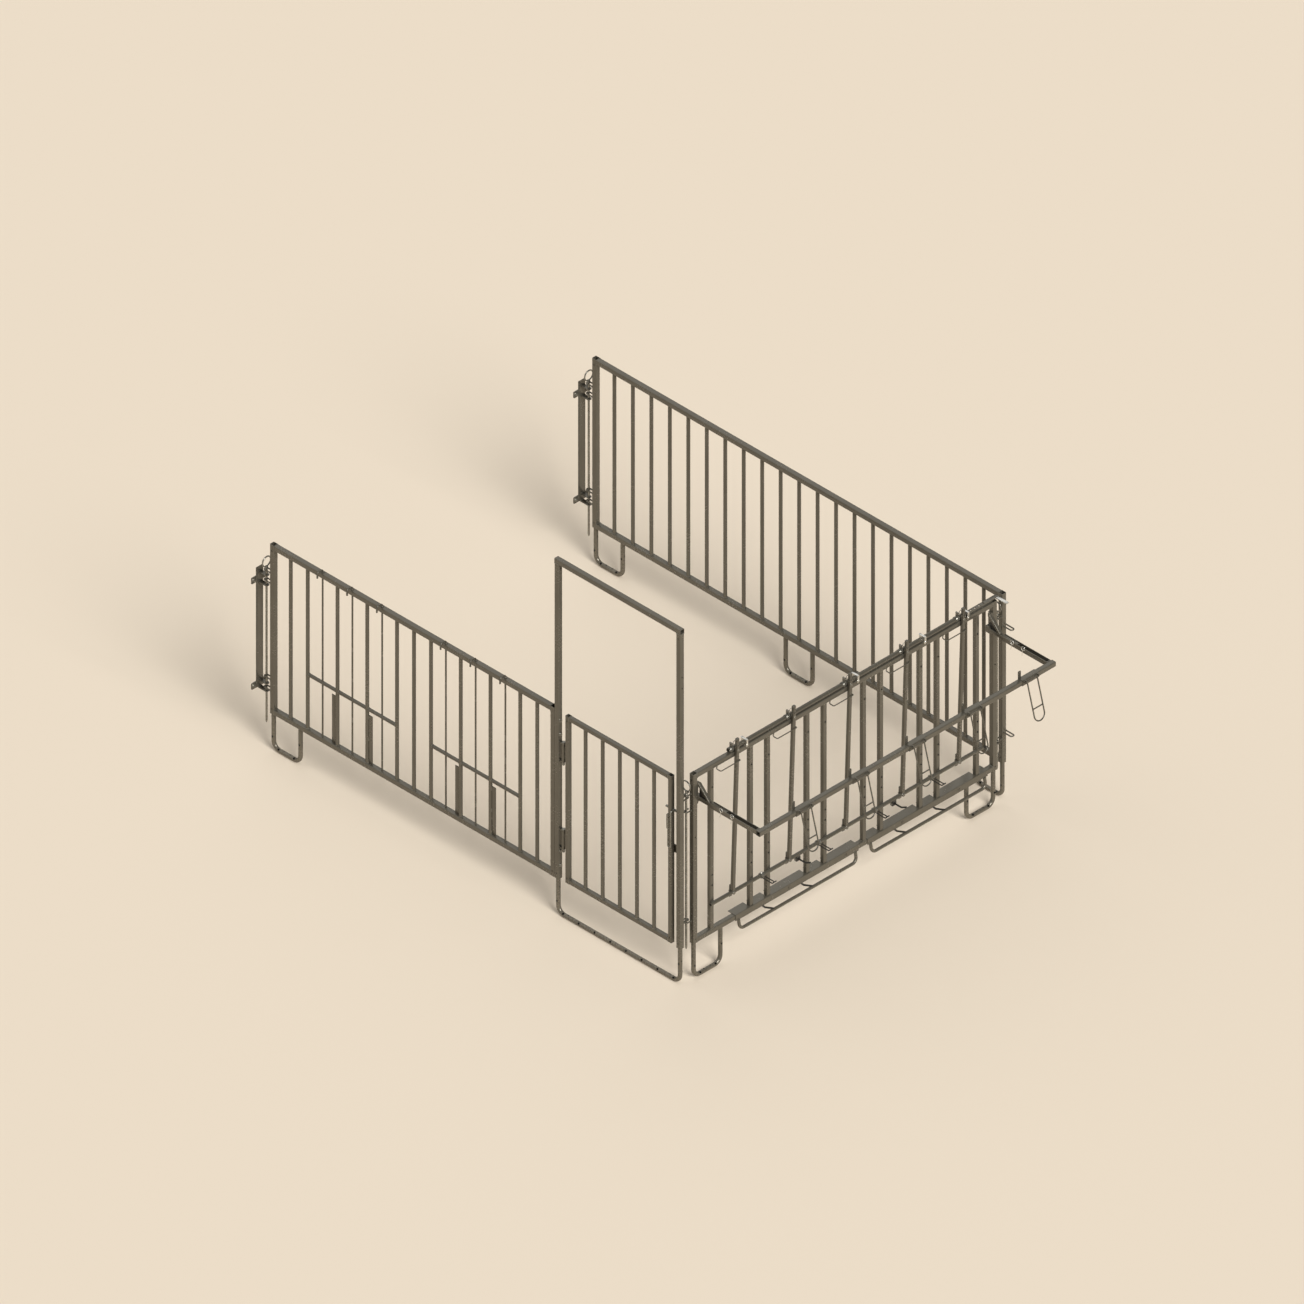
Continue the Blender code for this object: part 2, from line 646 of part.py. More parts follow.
def bar_place(index):
    return FIRST_BAR + index * PLACE_PITCH


# Middle of a leaning neck bar at some height, from its place's left bar
def swing_across(up, lean):
    return PIVOT_FROM_BAR + math.tan(math.radians(lean)) * (up - PIVOT_UP)


def pivot_rail_out():
    return FRONT_OUT + FRONT_BAR / 2 + PIVOT_RAIL_RADIUS - WELD


def swing_out():
    return FRONT_OUT + TUBE / 2 + BORE_PLAY + SWING_BAR / 2


def control_up():
    return TOP + BORE_PLAY + PAWL_RADIUS


def front_panel(steel):
    half = TUBE / 2
    span = (FRONT_LEFT + half - WELD, FRONT_RIGHT - half + WELD)
    shapes = [
        post_shapes(FRONT_LEFT, FRONT_OUT),
        post_shapes(FRONT_RIGHT, FRONT_OUT),
        rail_along_across(span, FRONT_OUT, BOTTOM),
        rail_along_across(span, FRONT_OUT, TOP - TUBE)]
    bar_up = (BOTTOM + TUBE - WELD, TOP - TUBE + WELD)
    for index in range(PLACES):
        for across in (bar_place(index), bar_place(index) + HEAD_OPENING):
            shapes.append(upright(across, FRONT_OUT, bar_up, FRONT_BAR))
    out = pivot_rail_out()
    ends = (bar_place(0) - FRONT_BAR, bar_place(PLACES - 1) + HEAD_OPENING + FRONT_BAR)
    shapes.append(rod((ends[0], out, PIVOT_UP), (ends[1], out, PIVOT_UP), PIVOT_RAIL_RADIUS, 8))
    ear_back = out - PIVOT_RAIL_RADIUS - GAP - SWING_EAR_THICK
    nut_back = ear_back - GAP - PIVOT_HEAD
    for index in range(PLACES):
        across = bar_place(index) + PIVOT_FROM_BAR
        front = out + PIVOT_RAIL_RADIUS
        shapes.append(rod((across, nut_back, PIVOT_UP), (across, front, PIVOT_UP), PIVOT_PIN_RADIUS, 12))
        shapes.append(rod((across, front - WELD, PIVOT_UP), (across, front + PIVOT_HEAD, PIVOT_UP),
                          PIVOT_HEAD_RADIUS, 6))
        shapes.append(rod((across, nut_back, PIVOT_UP), (across, nut_back + PIVOT_HEAD, PIVOT_UP),
                          PIVOT_HEAD_RADIUS, 6))
    low = TOP - TUBE + WELD
    front_wire = swing_out() + SWING_BAR / 2 + GUIDE_RADIUS + 2 * BORE_PLAY
    beside = SWING_BAR / 2 + GUIDE_RADIUS + 2 * BORE_PLAY
    foot_out = FRONT_OUT + half - WELD - GUIDE_RADIUS
    knee_out = FRONT_OUT + GUIDE_KNEE
    for index in range(PLACES):
        start = bar_place(index) + swing_across(GUIDE_UP, SWING_LEAN - SWING_RANGE) - beside
        end = bar_place(index) + swing_across(GUIDE_UP, SWING_LEAN) + beside
        points = [
            (start, foot_out, low), (start, knee_out, GUIDE_UP),
            (start, front_wire, GUIDE_UP), (end, front_wire, GUIDE_UP),
            (end, knee_out, GUIDE_UP), (end, foot_out, low)]
        shapes.append(wire(points, GUIDE_RADIUS, 2 * GUIDE_RADIUS, level=0, steps=2))
    guide_deep = (FRONT_OUT - ROD_GUIDE_BACK, FRONT_OUT + ROD_GUIDE_FRONT)
    for across in ROD_GUIDES:
        sides = (across - ROD_GUIDE_THICK / 2, across + ROD_GUIDE_THICK / 2)
        shapes.append(block(sides, guide_deep, (TOP - WELD, ROD_GUIDE_TOP)))
    for post, way in ((FRONT_LEFT, -1), (FRONT_RIGHT, 1)):
        face = post + way * half
        pin = CORNER_GAP if way < 0 else FAR_SIDE - CORNER_GAP
        for up in CORNER_FRONT_EYES:
            shapes.append(eye((pin, CORNER_PIN_OUT), (face, CORNER_PIN_OUT), up))
    cuts = [post_bore(post, FRONT_OUT, BOTTOM - OVER, TOP + OVER) for post in (FRONT_LEFT, FRONT_RIGHT)]
    along = ((CONTROL_START, FRONT_OUT, control_up()), (CONTROL_STRIP_END, FRONT_OUT, control_up()))
    cuts.append(rod(*along, CONTROL_RADIUS + GAP, ROUND_SIDES))
    part("feed_front_panel", shapes, steel, cuts)


def swing_bars(steel):
    out = swing_out()
    half = SWING_BAR / 2
    rail = pivot_rail_out()
    ear = (rail - PIVOT_RAIL_RADIUS - GAP - SWING_EAR_THICK, rail - PIVOT_RAIL_RADIUS - GAP)
    for index in range(PLACES):
        across = bar_place(index) + PIVOT_FROM_BAR
        sides = (across - half, across + half)
        foot_up = PIVOT_UP + SWING_FOOT_LIFT
        shapes = [
            block(sides, (out - half, out + half), (foot_up, SWING_TOP)),
            block(sides, ear, (PIVOT_UP - SWING_EAR, foot_up + SWING_EAR_RISE)),
            block(sides, (ear[1] - WELD, out - half + WELD), (foot_up, foot_up + SWING_EAR_RISE))]
        hole = ((across, ear[0] - OVER, PIVOT_UP), (across, ear[1] + OVER, PIVOT_UP))
        cuts = [bore(*hole, PIVOT_PIN_RADIUS + BORE_PLAY)]
        bar = part(f"neck_bar_{index + 1}", shapes, steel, cuts, origin=(across, rail, PIVOT_UP))
        bar.rotation_euler.y = math.radians(SWING_LEAN)


def control_rod(steel):
    up = control_up()
    out = FRONT_OUT
    shapes = [rod((CONTROL_START, out, up), (CONTROL_END, out, up), CONTROL_RADIUS, ROUND_SIDES)]
    wide = CONTROL_STRIP[0] / 2
    thick = CONTROL_STRIP[1] / 2
    level = (up - thick, up + thick)
    strip = block((CONTROL_END - STRIP_LAP, CONTROL_STRIP_END), (out - wide, out + wide), level)
    handle = block((CONTROL_STRIP_END - STRIP_LAP, CONTROL_STRIP_END),
                   (out + wide - WELD, out + HANDLE_REACH), level)
    shapes += [strip, handle]
    cuts = []
    first = CONTROL_END + FIRST_SLOT
    for index in range(SLOTS):
        middle = first + index * SLOT_PITCH
        half = SLOT_SIZE[0] / 2
        cuts.append(block((middle - half, middle + half), (out - SLOT_SIZE[1] / 2, out + SLOT_SIZE[1] / 2),
                          (up - OVER, up + OVER)))
    ends = ((CONTROL_START - OVER, out, up), (CONTROL_START + ROD_POCKET, out, up))
    cuts.append(rod(*ends, CONTROL_RADIUS - WALL, ROUND_SIDES))
    rod_part = part("control_rod", shapes, steel, cuts, origin=(CONTROL_START, out, up), round_part=True)

    # Each pawl is a collar on the rod with a finger. It stands up here, which frees its neck bar.
    for index in range(PLACES):
        bar_left = bar_place(index) + swing_across(up, SWING_LEAN) - SWING_BAR / 2
        right = bar_left - PAWL_SIDE_GAP
        left = right - PAWL_THICK
        collar = rod((left, out, up), (right, out, up), PAWL_RADIUS, ROUND_SIDES)
        middle = (left + right) / 2
        thick, wide = PAWL_FINGER
        finger = block((middle - thick / 2, middle + thick / 2), (out - wide / 2, out + wide / 2),
                       (up + PAWL_ROOT, up + PAWL_REACH))
        hole = bore((left - OVER, out, up), (right + OVER, out, up), CONTROL_RADIUS + GAP, ROUND_SIDES)
        pawl = part(f"locking_pawl_{index + 1}", [collar, finger], steel, [hole], origin=(left, out, up))
        carry(pawl, rod_part)


def arm_brackets(steel):
    for name, across, post_at, way in (
            ("left", ARMS[0], FRONT_LEFT, 1), ("right", ARMS[1], FRONT_RIGHT, -1)):
        half = ARM_TUBE / 2
        face = post_at + way * (TUBE / 2 + GAP)
        inner = across + way * half
        sides = (across - half, across + half)
        plate = (min(face, face + way * PLATE), max(face, face + way * PLATE))
        post = (FRONT_OUT - TUBE / 2, FRONT_OUT + TUBE / 2)
        seat = (min(face, inner), max(face, inner))
        shapes = [
            block(sides, (post[0], ARM_TUBE_END), (ARM_UP - half, ARM_UP + half)),
            block(plate, post, (ARM_UP - ARM_PLATE_DROP, BRACE_TOP[1] + ARM_TIE_HALF)),
            block(seat, post, (ARM_UP - ARM_SEAT_HALF, ARM_UP + ARM_SEAT_HALF))]
        shapes.append(rod((across, *BRACE_TOP), (across, *BRACE_END), BRACE_RADIUS, 4))
        tie = (min(face, across), max(face, across))
        shapes.append(block(tie, ARM_TIE, (BRACE_TOP[1] - ARM_TIE_HALF, BRACE_TOP[1] + ARM_TIE_HALF)))
        part(f"{name}_arm_bracket", shapes, steel)


def bucket_rail(steel, dark):
    half = TUBE / 2
    ends = RAIL_ENDS
    rail = block(ends, (RAIL_OUT - half, RAIL_OUT + half), (ARM_UP - half, ARM_UP + half))
    inside = block((ends[0] - OVER, ends[1] + OVER), (RAIL_OUT - half + WALL, RAIL_OUT + half - WALL),
                   (ARM_UP - half + WALL, ARM_UP + half - WALL))
    rail_part = part("bucket_rail", [rail], steel, [inside], origin=(ends[0], RAIL_OUT, ARM_UP))

    for name, across in zip(("left", "right"), ARMS):
        end = RAIL_OUT - half - GAP
        inside = ARM_TUBE / 2 + BORE_PLAY
        outside = inside + SLIDER_WALL
        body = block((across - outside, across + outside), (SLIDER_START, end),
                     (ARM_UP - outside, ARM_UP + outside))
        groove = block((across - inside, across + inside), (SLIDER_START - OVER, end - PLATE),
                       (ARM_UP - inside, ARM_UP + outside + OVER))
        arm = part(f"{name}_sliding_arm", [body], steel, [groove], origin=(across, end, ARM_UP))
        carry(arm, rail_part)

    for index in range(HOLDERS):
        across = FIRST_HOLDER + index * PLACE_PITCH
        hold(index + 1, across, rail_part, steel, dark)


def hold(number, across, rail_part, steel, dark):
    half = TUBE / 2
    inside = half + GAP
    outside = inside + SLEEVE_WALL
    sides = (across - SLEEVE_LENGTH / 2, across + SLEEVE_LENGTH / 2)
    front = RAIL_OUT + outside
    axis_out = front + EAR_BLOCK / 2
    axis_up = ARM_UP + outside - EAR_BLOCK / 2
    shapes = [block(sides, (RAIL_OUT - outside, front), (ARM_UP - outside, ARM_UP + outside))]
    ear_at = LOOP_WIDTH / 2 + EYE_RADIUS + EAR_THICK / 2 + 2 * BORE_PLAY
    for side in (-1, 1):
        middle = across + side * ear_at
        ear = (middle - EAR_THICK / 2, middle + EAR_THICK / 2)
        shapes.append(block(ear, (front - WELD, front + EAR_BLOCK),
                            (axis_up - EAR_BLOCK / 2, axis_up + EAR_BLOCK / 2)))
    tab = (sides[0], sides[0] + TAB_WIDTH)
    shapes.append(block(tab, (RAIL_OUT - outside, RAIL_OUT - inside),
                        (ARM_UP + inside, ARM_UP + outside + TAB_HEIGHT)))
    reach = across - LOOP_ROD_HALF - OVER
    cuts = [
        block((sides[0] - OVER, sides[1] + OVER), (RAIL_OUT - inside, RAIL_OUT + inside),
              (ARM_UP - inside, ARM_UP + inside)),
        bore((reach, axis_out, axis_up), (across + LOOP_ROD_HALF + OVER, axis_out, axis_up),
             EYE_RADIUS + BORE_PLAY, 8)]
    sleeve = part(f"bucket_sleeve_{number}", shapes, steel, cuts, origin=(across, RAIL_OUT, ARM_UP))
    carry(sleeve, rail_part)

    wide = LOOP_WIDTH / 2
    axis = (across, axis_out, axis_up)
    drop = axis_up - LOOP_LEG - wide
    legs = wire([
        (across - wide, axis_out, axis_up), (across - wide, axis_out, drop),
        (across + wide, axis_out, drop), (across + wide, axis_out, axis_up)],
        EYE_RADIUS, wide * LOOP_ROUND, level=1, steps=5)
    top_rod = rod((across - LOOP_ROD_HALF, axis_out, axis_up), (across + LOOP_ROD_HALF, axis_out, axis_up),
                  EYE_RADIUS, 8)
    bar_up = axis_up - LOOP_LEG * LOOP_BAR
    cross = rod((across - wide, axis_out, bar_up), (across + wide, axis_out, bar_up), LOOP_BAR_RADIUS, 6)
    loop = part(f"bucket_loop_{number}", [top_rod, legs, cross], dark, origin=axis, round_part=True)
    loop.rotation_euler.x = math.radians(-LOOP_TILT)
    carry(loop, rail_part)


# The lower loop hangs from a notched sheet that is folded over the front of the lower rail.
def racks(steel):
    half = TUBE / 2
    lift = BOTTOM + TUBE + GAP
    lip_in = FRONT_OUT + half + GAP
    lip_out = lip_in + RACK_SHEET
    top = lift + RACK_SHEET
    bars = []
    for index in range(PLACES):
        bars += [bar_place(index), bar_place(index) + HEAD_OPENING]
    for number, (left, right) in enumerate(RACKS):
        sheet_low = top - RACK_LIP
        shapes = [
            block((left, right), (lip_out - RACK_DEEP, lip_out), (lift, top)),
            block((left, right), (lip_in, lip_out), (sheet_low, lift + WELD))]
        run_out = lip_in + math.tan(math.radians(RACK_TILT)) * (sheet_low - RACK_RUN_UP)
        leg_up = BOTTOM - RACK_LEG_DROP
        wire_out = lip_in + RACK_WIRE_BEHIND
        legs = (left + RACK_LEG_INSET, right - RACK_LEG_INSET)
        shapes.append(wire([
            (legs[0], wire_out, leg_up), (legs[0], run_out, RACK_RUN_UP),
            (legs[1], run_out, RACK_RUN_UP), (legs[1], wire_out, leg_up)],
            RACK_RADIUS, RACK_BEND, level=2, steps=3))
        for start, end in RACK_BRACES:
            shapes.append(wire([
                (left + start, wire_out, leg_up),
                (left + start + RACK_KNEE[0], wire_out + RACK_WIRE_BEHIND, leg_up - RACK_KNEE[1]),
                (left + end, run_out, RACK_RUN_UP + EYE_RADIUS)], EYE_RADIUS, EYE_RADIUS, steps=2))
        notch = FRONT_BAR / 2 + BORE_PLAY
        cuts = []
        for bar in bars:
            if left < bar < right:
                cuts.append(block((bar - notch, bar + notch), (FRONT_OUT - half - TUBE, FRONT_OUT + notch),
                                  (lift - OVER, top + OVER)))
        part(f"lower_loop_{number + 1}", shapes, steel, cuts)


def wall_side(steel, bright):
    for name, across in (("near", 0.0), ("far", FAR_SIDE)):
        half = STRIP_WIDTH / 2
        face = WALL_FACE + PLATE
        shapes = [block((across - half, across + half), (WALL_FACE, face), STRIP_UP)]
        tab = (across - WALL_TAB_WIDTH / 2, across + WALL_TAB_WIDTH / 2)
        for up in WALL_TABS_UP:
            shapes.append(block(tab, (face - WELD, TAB_END), (up - PLATE / 2, up + PLATE / 2)))
        ends = ((across, WALL_PIN_OUT, STRIP_UP[0] - OVER), (across, WALL_PIN_OUT, STRIP_UP[1]))
        cuts = [rod(*ends, PIN_RADIUS + BORE_PLAY, 8)]
        wide = ANCHOR_PLATE[0] / 2
        tall = ANCHOR_PLATE[1] / 2
        for up in ANCHOR_UP:
            shapes.append(block((across - wide, across + wide), (WALL_FACE, face), (up - tall, up + tall)))
            for side in (-1, 1):
                spot = across + side * (wide - ANCHOR_INSET)
                ends = ((spot, face - WELD, up), (spot, face + ANCHOR_HEAD[1], up))
                shapes.append(rod(*ends, ANCHOR_HEAD[0], 6))
        part(f"{name}_wall_bracket", shapes, steel, cuts)
        long_pin(f"{name}_wall_pin", across, WALL_PIN_OUT, WALL_PIN_UP, WALL_EYES_UP[-1], bright, True)


# A long pin with a ring on top. A small collar rests on the upper eye.
def long_pin(name, across, out, up, top_eye, steel, ring_across):
    low, high = up
    stem = rod((across, out, low), (across, out, high), PIN_RADIUS, 8)
    seat = top_eye + EYE_RADIUS + GAP
    collar = rod((across, out, seat), (across, out, seat + PIN_RADIUS), PIN_COLLAR_RADIUS, 8)
    middle = place((across, out, high + RING_RADIUS - EYE_RADIUS / 2))
    path = []
    for step in range(RING_SIDES):
        angle = math.tau * (step + 0.5) / RING_SIDES
        level = math.cos(angle) * RING_RADIUS
        reach = (level, 0) if ring_across else (0, level)
        path.append(middle + Vector((*reach, math.sin(angle) * RING_RADIUS)))
    ring = tube_along(path, EYE_RADIUS, 1, closed=True)
    return part(name, [stem, collar, ring], steel, origin=(across, out, low), round_part=True)


def corner_pins(bright):
    for name, across in (("door", CORNER_GAP), ("far", FAR_SIDE - CORNER_GAP)):
        long_pin(f"{name}_corner_pin", across, CORNER_PIN_OUT, CORNER_PIN_UP, CORNER_FRONT_EYES[-1],
                 bright, False)


# The origin goes to the floor under the middle of the pen.
def stand_on_origin():
    parts = bpy.data.collections["calf_pen"].objects
    bpy.context.view_layer.update()
    corners = [ob.matrix_world @ v.co for ob in parts for v in ob.data.vertices]
    low = Vector([min(c[axis] for c in corners) for axis in range(3)])
    high = Vector([max(c[axis] for c in corners) for axis in range(3)])
    shift = Vector(((low.x + high.x) / 2, (low.y + high.y) / 2, low.z))
    for ob in parts:
        if not ob.parent:
            ob.location -= shift
    print("moved by", [round(-value, 6) for value in shift])
    print("size", [round(value, 4) for value in high - low])


def main():
    start_clean()
    steel = make_material("coated_steel", STEEL, 0.55, 0.7)
    dark = make_material("dark_wire", DARK_STEEL, 0.5, 0.8)
    bright = make_material("zinc_plated_steel", BRIGHT_STEEL, 0.35, 0.9)
    far_panel(steel)
    near_panel(steel)
    lift_out_rods(dark)
    doorway(steel)
    threshold(steel)
    feet(steel)
    gate(steel, bright)
    panel_bolts(bright)
    front_panel(steel)
    swing_bars(steel)
    control_rod(steel)
    arm_brackets(steel)
    bucket_rail(steel, dark)
    racks(steel)
    wall_side(steel, bright)
    corner_pins(bright)
    stand_on_origin()


main()
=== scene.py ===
import math
import random

import bmesh
import bpy
from mathutils import Matrix, Vector


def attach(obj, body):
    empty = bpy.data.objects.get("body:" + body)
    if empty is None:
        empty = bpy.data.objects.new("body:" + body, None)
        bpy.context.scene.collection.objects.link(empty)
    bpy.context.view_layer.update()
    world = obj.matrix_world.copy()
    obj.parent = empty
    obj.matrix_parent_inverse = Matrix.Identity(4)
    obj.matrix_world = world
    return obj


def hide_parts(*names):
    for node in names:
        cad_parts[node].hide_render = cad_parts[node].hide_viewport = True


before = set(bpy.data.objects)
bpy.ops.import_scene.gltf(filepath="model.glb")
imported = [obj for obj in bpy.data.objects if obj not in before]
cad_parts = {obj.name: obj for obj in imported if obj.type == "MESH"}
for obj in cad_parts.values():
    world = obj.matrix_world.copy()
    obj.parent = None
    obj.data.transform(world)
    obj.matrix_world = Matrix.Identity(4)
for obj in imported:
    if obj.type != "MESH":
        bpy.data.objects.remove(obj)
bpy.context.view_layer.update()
rng = random.Random(7)
penShift = Vector((-1.1775, 1.713333, -0.00006))     # from (across, out, up) to the frame
gap = 0.0003
overlap = 0.0005     # how far a bar runs into the post it joins
sharpAngle = 38     # degrees
mergeReach = 0.000002
plainBead = 0.0022     # radius of an ordinary weld
fineBead = 0.0018


def spot(across, out, up):
    return Vector((across, -out, up)) + penShift


# small tools for the shapes
def turnAbout(bm, pivot, angle, axis):
    turn = Matrix.Rotation(math.radians(angle), 4, axis)
    bmesh.ops.transform(bm, matrix=Matrix.Translation(pivot) @ turn @ Matrix.Translation(-pivot),
        verts=bm.verts)


def newObject(name, data):
    made = bpy.data.objects.new(name, data)
    bpy.context.scene.collection.objects.link(made)
    return made


def aim(start, end):
    way = end - start
    turn = way.to_track_quat("Z", "Y").to_matrix().to_4x4()
    return Matrix.Translation(start) @ turn


def addTo(piece, shape, paint=0):
    bmesh.ops.recalc_face_normals(shape, faces=shape.faces)
    for face in shape.faces:
        face.material_index = paint
        face.smooth = True
    scrap = bpy.data.meshes.new("scrap")
    shape.to_mesh(scrap)
    shape.free()
    piece.from_mesh(scrap)
    bpy.data.meshes.remove(scrap)


def drill(shape, cutters):     # real holes, cut from one closed shape
    owners = []
    for bm in [shape] + cutters:
        bmesh.ops.recalc_face_normals(bm, faces=bm.faces)
        mesh = bpy.data.meshes.new("drill")
        bm.to_mesh(mesh)
        bm.free()
        owners.append(newObject("drill", mesh))
    for cutter in owners[1:]:
        cut = owners[0].modifiers.new("hole", "BOOLEAN")
        cut.operation = "DIFFERENCE"
        cut.object = cutter
        cut.solver = "EXACT"
    bpy.context.view_layer.update()
    graph = bpy.context.evaluated_depsgraph_get()
    done = bpy.data.meshes.new_from_object(owners[0].evaluated_get(graph), depsgraph=graph)
    out = bmesh.new()
    out.from_mesh(done)
    bmesh.ops.remove_doubles(out, verts=out.verts, dist=mergeReach)
    bpy.data.meshes.remove(done)
    for ob in owners:
        bpy.data.objects.remove(ob)
    return out


def pushFace(bm, face, way, wall=0.0):     # a profile face becomes a bar, hollow if it has a wall
    ring = [face]
    if wall:
        before = set(bm.faces)
        bmesh.ops.inset_individual(bm, faces=[face], thickness=wall, use_even_offset=True)
        ring = [f for f in bm.faces if f not in before]
        bmesh.ops.delete(bm, geom=[face], context="FACES")
    grown = bmesh.ops.extrude_face_region(bm, geom=ring)
    moved = [g for g in grown["geom"] if isinstance(g, bmesh.types.BMVert)]
    bmesh.ops.translate(bm, verts=moved, vec=way)


def squareBar(start, end, size, corner=0.003, wall=0.0, deep=None):
    bm = bmesh.new()
    frameTurn = aim(start, end)
    made = bmesh.ops.create_grid(bm, x_segments=1, y_segments=1, size=0.5, matrix=Matrix.Identity(4))
    scale = Matrix.Diagonal((size, deep or size, 1, 1))
    bmesh.ops.transform(bm, matrix=frameTurn @ scale, verts=made["verts"])
    bmesh.ops.bevel(bm, geom=bm.verts[:], offset=corner, segments=3, profile=0.5, affect="VERTICES",
        material=-1)
    bm.faces.ensure_lookup_table()
    pushFace(bm, bm.faces[0], end - start, wall)
    return bm


def roundBar(start, end, radius, sides=20, wall=0.0):
    bm = bmesh.new()
    bmesh.ops.create_circle(bm, cap_ends=True, radius=radius, segments=sides, matrix=aim(start, end))
    bm.faces.ensure_lookup_table()
    pushFace(bm, bm.faces[0], end - start, wall)
    return bm


def plate(x, y, z, edge=0.0007):     # a block between two values on each axis
    p, q = ends(x, y, z)
    bm = bmesh.new()
    bmesh.ops.create_cube(bm, size=1)
    size = Vector([abs(q[i] - p[i]) for i in range(3)])
    bmesh.ops.transform(bm, matrix=Matrix.Translation((p + q) / 2) @ Matrix.Diagonal((*size, 1)),
        verts=bm.verts)
    if edge:
        soften(bm, bm.edges[:], edge, 2)
    return bm


def soften(bm, edges, offset, segments):
    bmesh.ops.bevel(bm, geom=edges, offset=offset, segments=segments, profile=0.5, affect="EDGES",
        material=-1)


def roundOff(bm, axis, longer, offset, segments, outward=None, above=None):     # edges along one axis
    picked = [e for e in bm.edges if abs(e.verts[0].co[axis] - e.verts[1].co[axis]) > longer]
    if outward is not None:
        picked = [e for e in picked if max(v.co.y for v in e.verts) < spot(0, outward, 0).y]
    if above is not None:
        picked = [e for e in picked if min(v.co.z for v in e.verts) > spot(0, 0, above).z]
    soften(bm, picked, offset, segments)


def ends(*places):     # a pair where start and end differ, one number where they don't
    pairs = [p if isinstance(p, tuple) else (p, p) for p in places]
    return spot(*[p[0] for p in pairs]), spot(*[p[1] for p in pairs])


def around(middle, half):
    return middle - half, middle + half


def rod(x, y, z, radius, sides=20, wall=0.0):
    return roundBar(*ends(x, y, z), radius, sides, wall)


def squareRod(x, y, z, *shape):
    return squareBar(*ends(x, y, z), *shape)


def rimOf(made):
    return list({e for v in made["verts"] for e in v.link_edges})


def growRim(bm, rim, move):
    grown = bmesh.ops.extrude_edge_only(bm, edges=rim)
    moved = [g for g in grown["geom"] if isinstance(g, bmesh.types.BMVert)]
    rim = [g for g in grown["geom"] if isinstance(g, bmesh.types.BMEdge)
        and all(v in moved for v in g.verts)]
    bmesh.ops.translate(bm, verts=moved, vec=move)
    return rim, moved


def bentBar(points, radius, bend, sides=16, steps=8):     # round bar or wire with rounded corners
    bm = bmesh.new()
    made = bmesh.ops.create_circle(bm, cap_ends=True, radius=radius, segments=sides,
        matrix=aim(points[0], points[1]))
    rim = rimOf(made)
    place = points[0]
    for index in range(1, len(points)):
        corner = points[index]
        way = (corner - points[index - 1]).normalized()
        last = index == len(points) - 1
        stop = corner
        if not last:
            ahead = (points[index + 1] - corner).normalized()
            turn = way.angle(ahead)
            reach = bend * math.tan(turn / 2)
            stop = corner - way * reach
        rim = growRim(bm, rim, stop - place)[0]
        place = stop
        if not last:
            axis = way.cross(ahead).normalized()
            middle = stop + axis.cross(way) * bend
            swept = bmesh.ops.spin(bm, geom=rim, cent=middle, axis=axis, angle=turn,
                steps=max(2, round(steps * turn / 1.6)), use_merge=False)
            rim = [g for g in swept["geom_last"] if isinstance(g, bmesh.types.BMEdge)]
            place = corner + ahead * reach
    bmesh.ops.contextual_create(bm, geom=rim)
    return bm


def wireRun(piece, places, radius, bend, sides=12, steps=8, paint=0):
    addTo(piece, bentBar([spot(*p) for p in places], radius, bend, sides, steps), paint)


def outAndBack(first, second, path):     # (out, up) places at one side, then back at the other
    return [(first, *p) for p in path] + [(second, *p) for p in reversed(path)]


def collar(inner, wide, tall, edge=0.0006):     # the section of a ring with broken edges
    return [(inner, 0), (wide - edge, 0), (wide, edge), (wide, tall - edge), (wide - edge, tall),
        (inner, tall), (inner, 0)]


def turned(at, way, profile, sides=20):     # lathe shape: (radius, along) pairs
    bm = bmesh.new()
    verts = [bm.verts.new((r, 0, z)) for r, z in profile]
    edges = [bm.edges.new(pair) for pair in zip(verts, verts[1:])]
    bmesh.ops.spin(bm, geom=verts + edges, cent=(0, 0, 0), axis=(0, 0, 1), angle=math.tau, steps=sides,
        use_merge=True)
    bmesh.ops.remove_doubles(bm, verts=bm.verts, dist=mergeReach)
    bmesh.ops.transform(bm, matrix=aim(at, at + way), verts=bm.verts)
    return bm


def tubeFaces(bm, rows, pairs):     # faces between rows of points round a wire
    sides = len(rows[0])
    for first, second in pairs:
        for k in range(sides):
            bm.faces.new((first[k], first[(k + 1) % sides], second[(k + 1) % sides], second[k]))


def wireRow(bm, middle, radial, aside, wire, sides):
    turns = (math.tau * k / sides for k in range(sides))
    return [bm.verts.new(middle + (radial * math.cos(t) + aside * math.sin(t)) * wire) for t in turns]


def coil(at, way, radius, wire, turns, pitch, sides=8, steps=20):     # a wound spring
    bm = bmesh.new()
    turn = way.to_track_quat("Z", "Y").to_matrix()
    rows = []
    for step in range(turns * steps + 1):
        angle = math.tau * step / steps
        radial = turn @ Vector((math.cos(angle), math.sin(angle), 0))
        middle = at + radial * radius + way * (pitch * step / steps)
        rows.append(wireRow(bm, middle, radial, way, wire, sides))
    tubeFaces(bm, rows, zip(rows, rows[1:]))
    bm.faces.new(rows[0])
    bm.faces.new(rows[-1])
    return bm


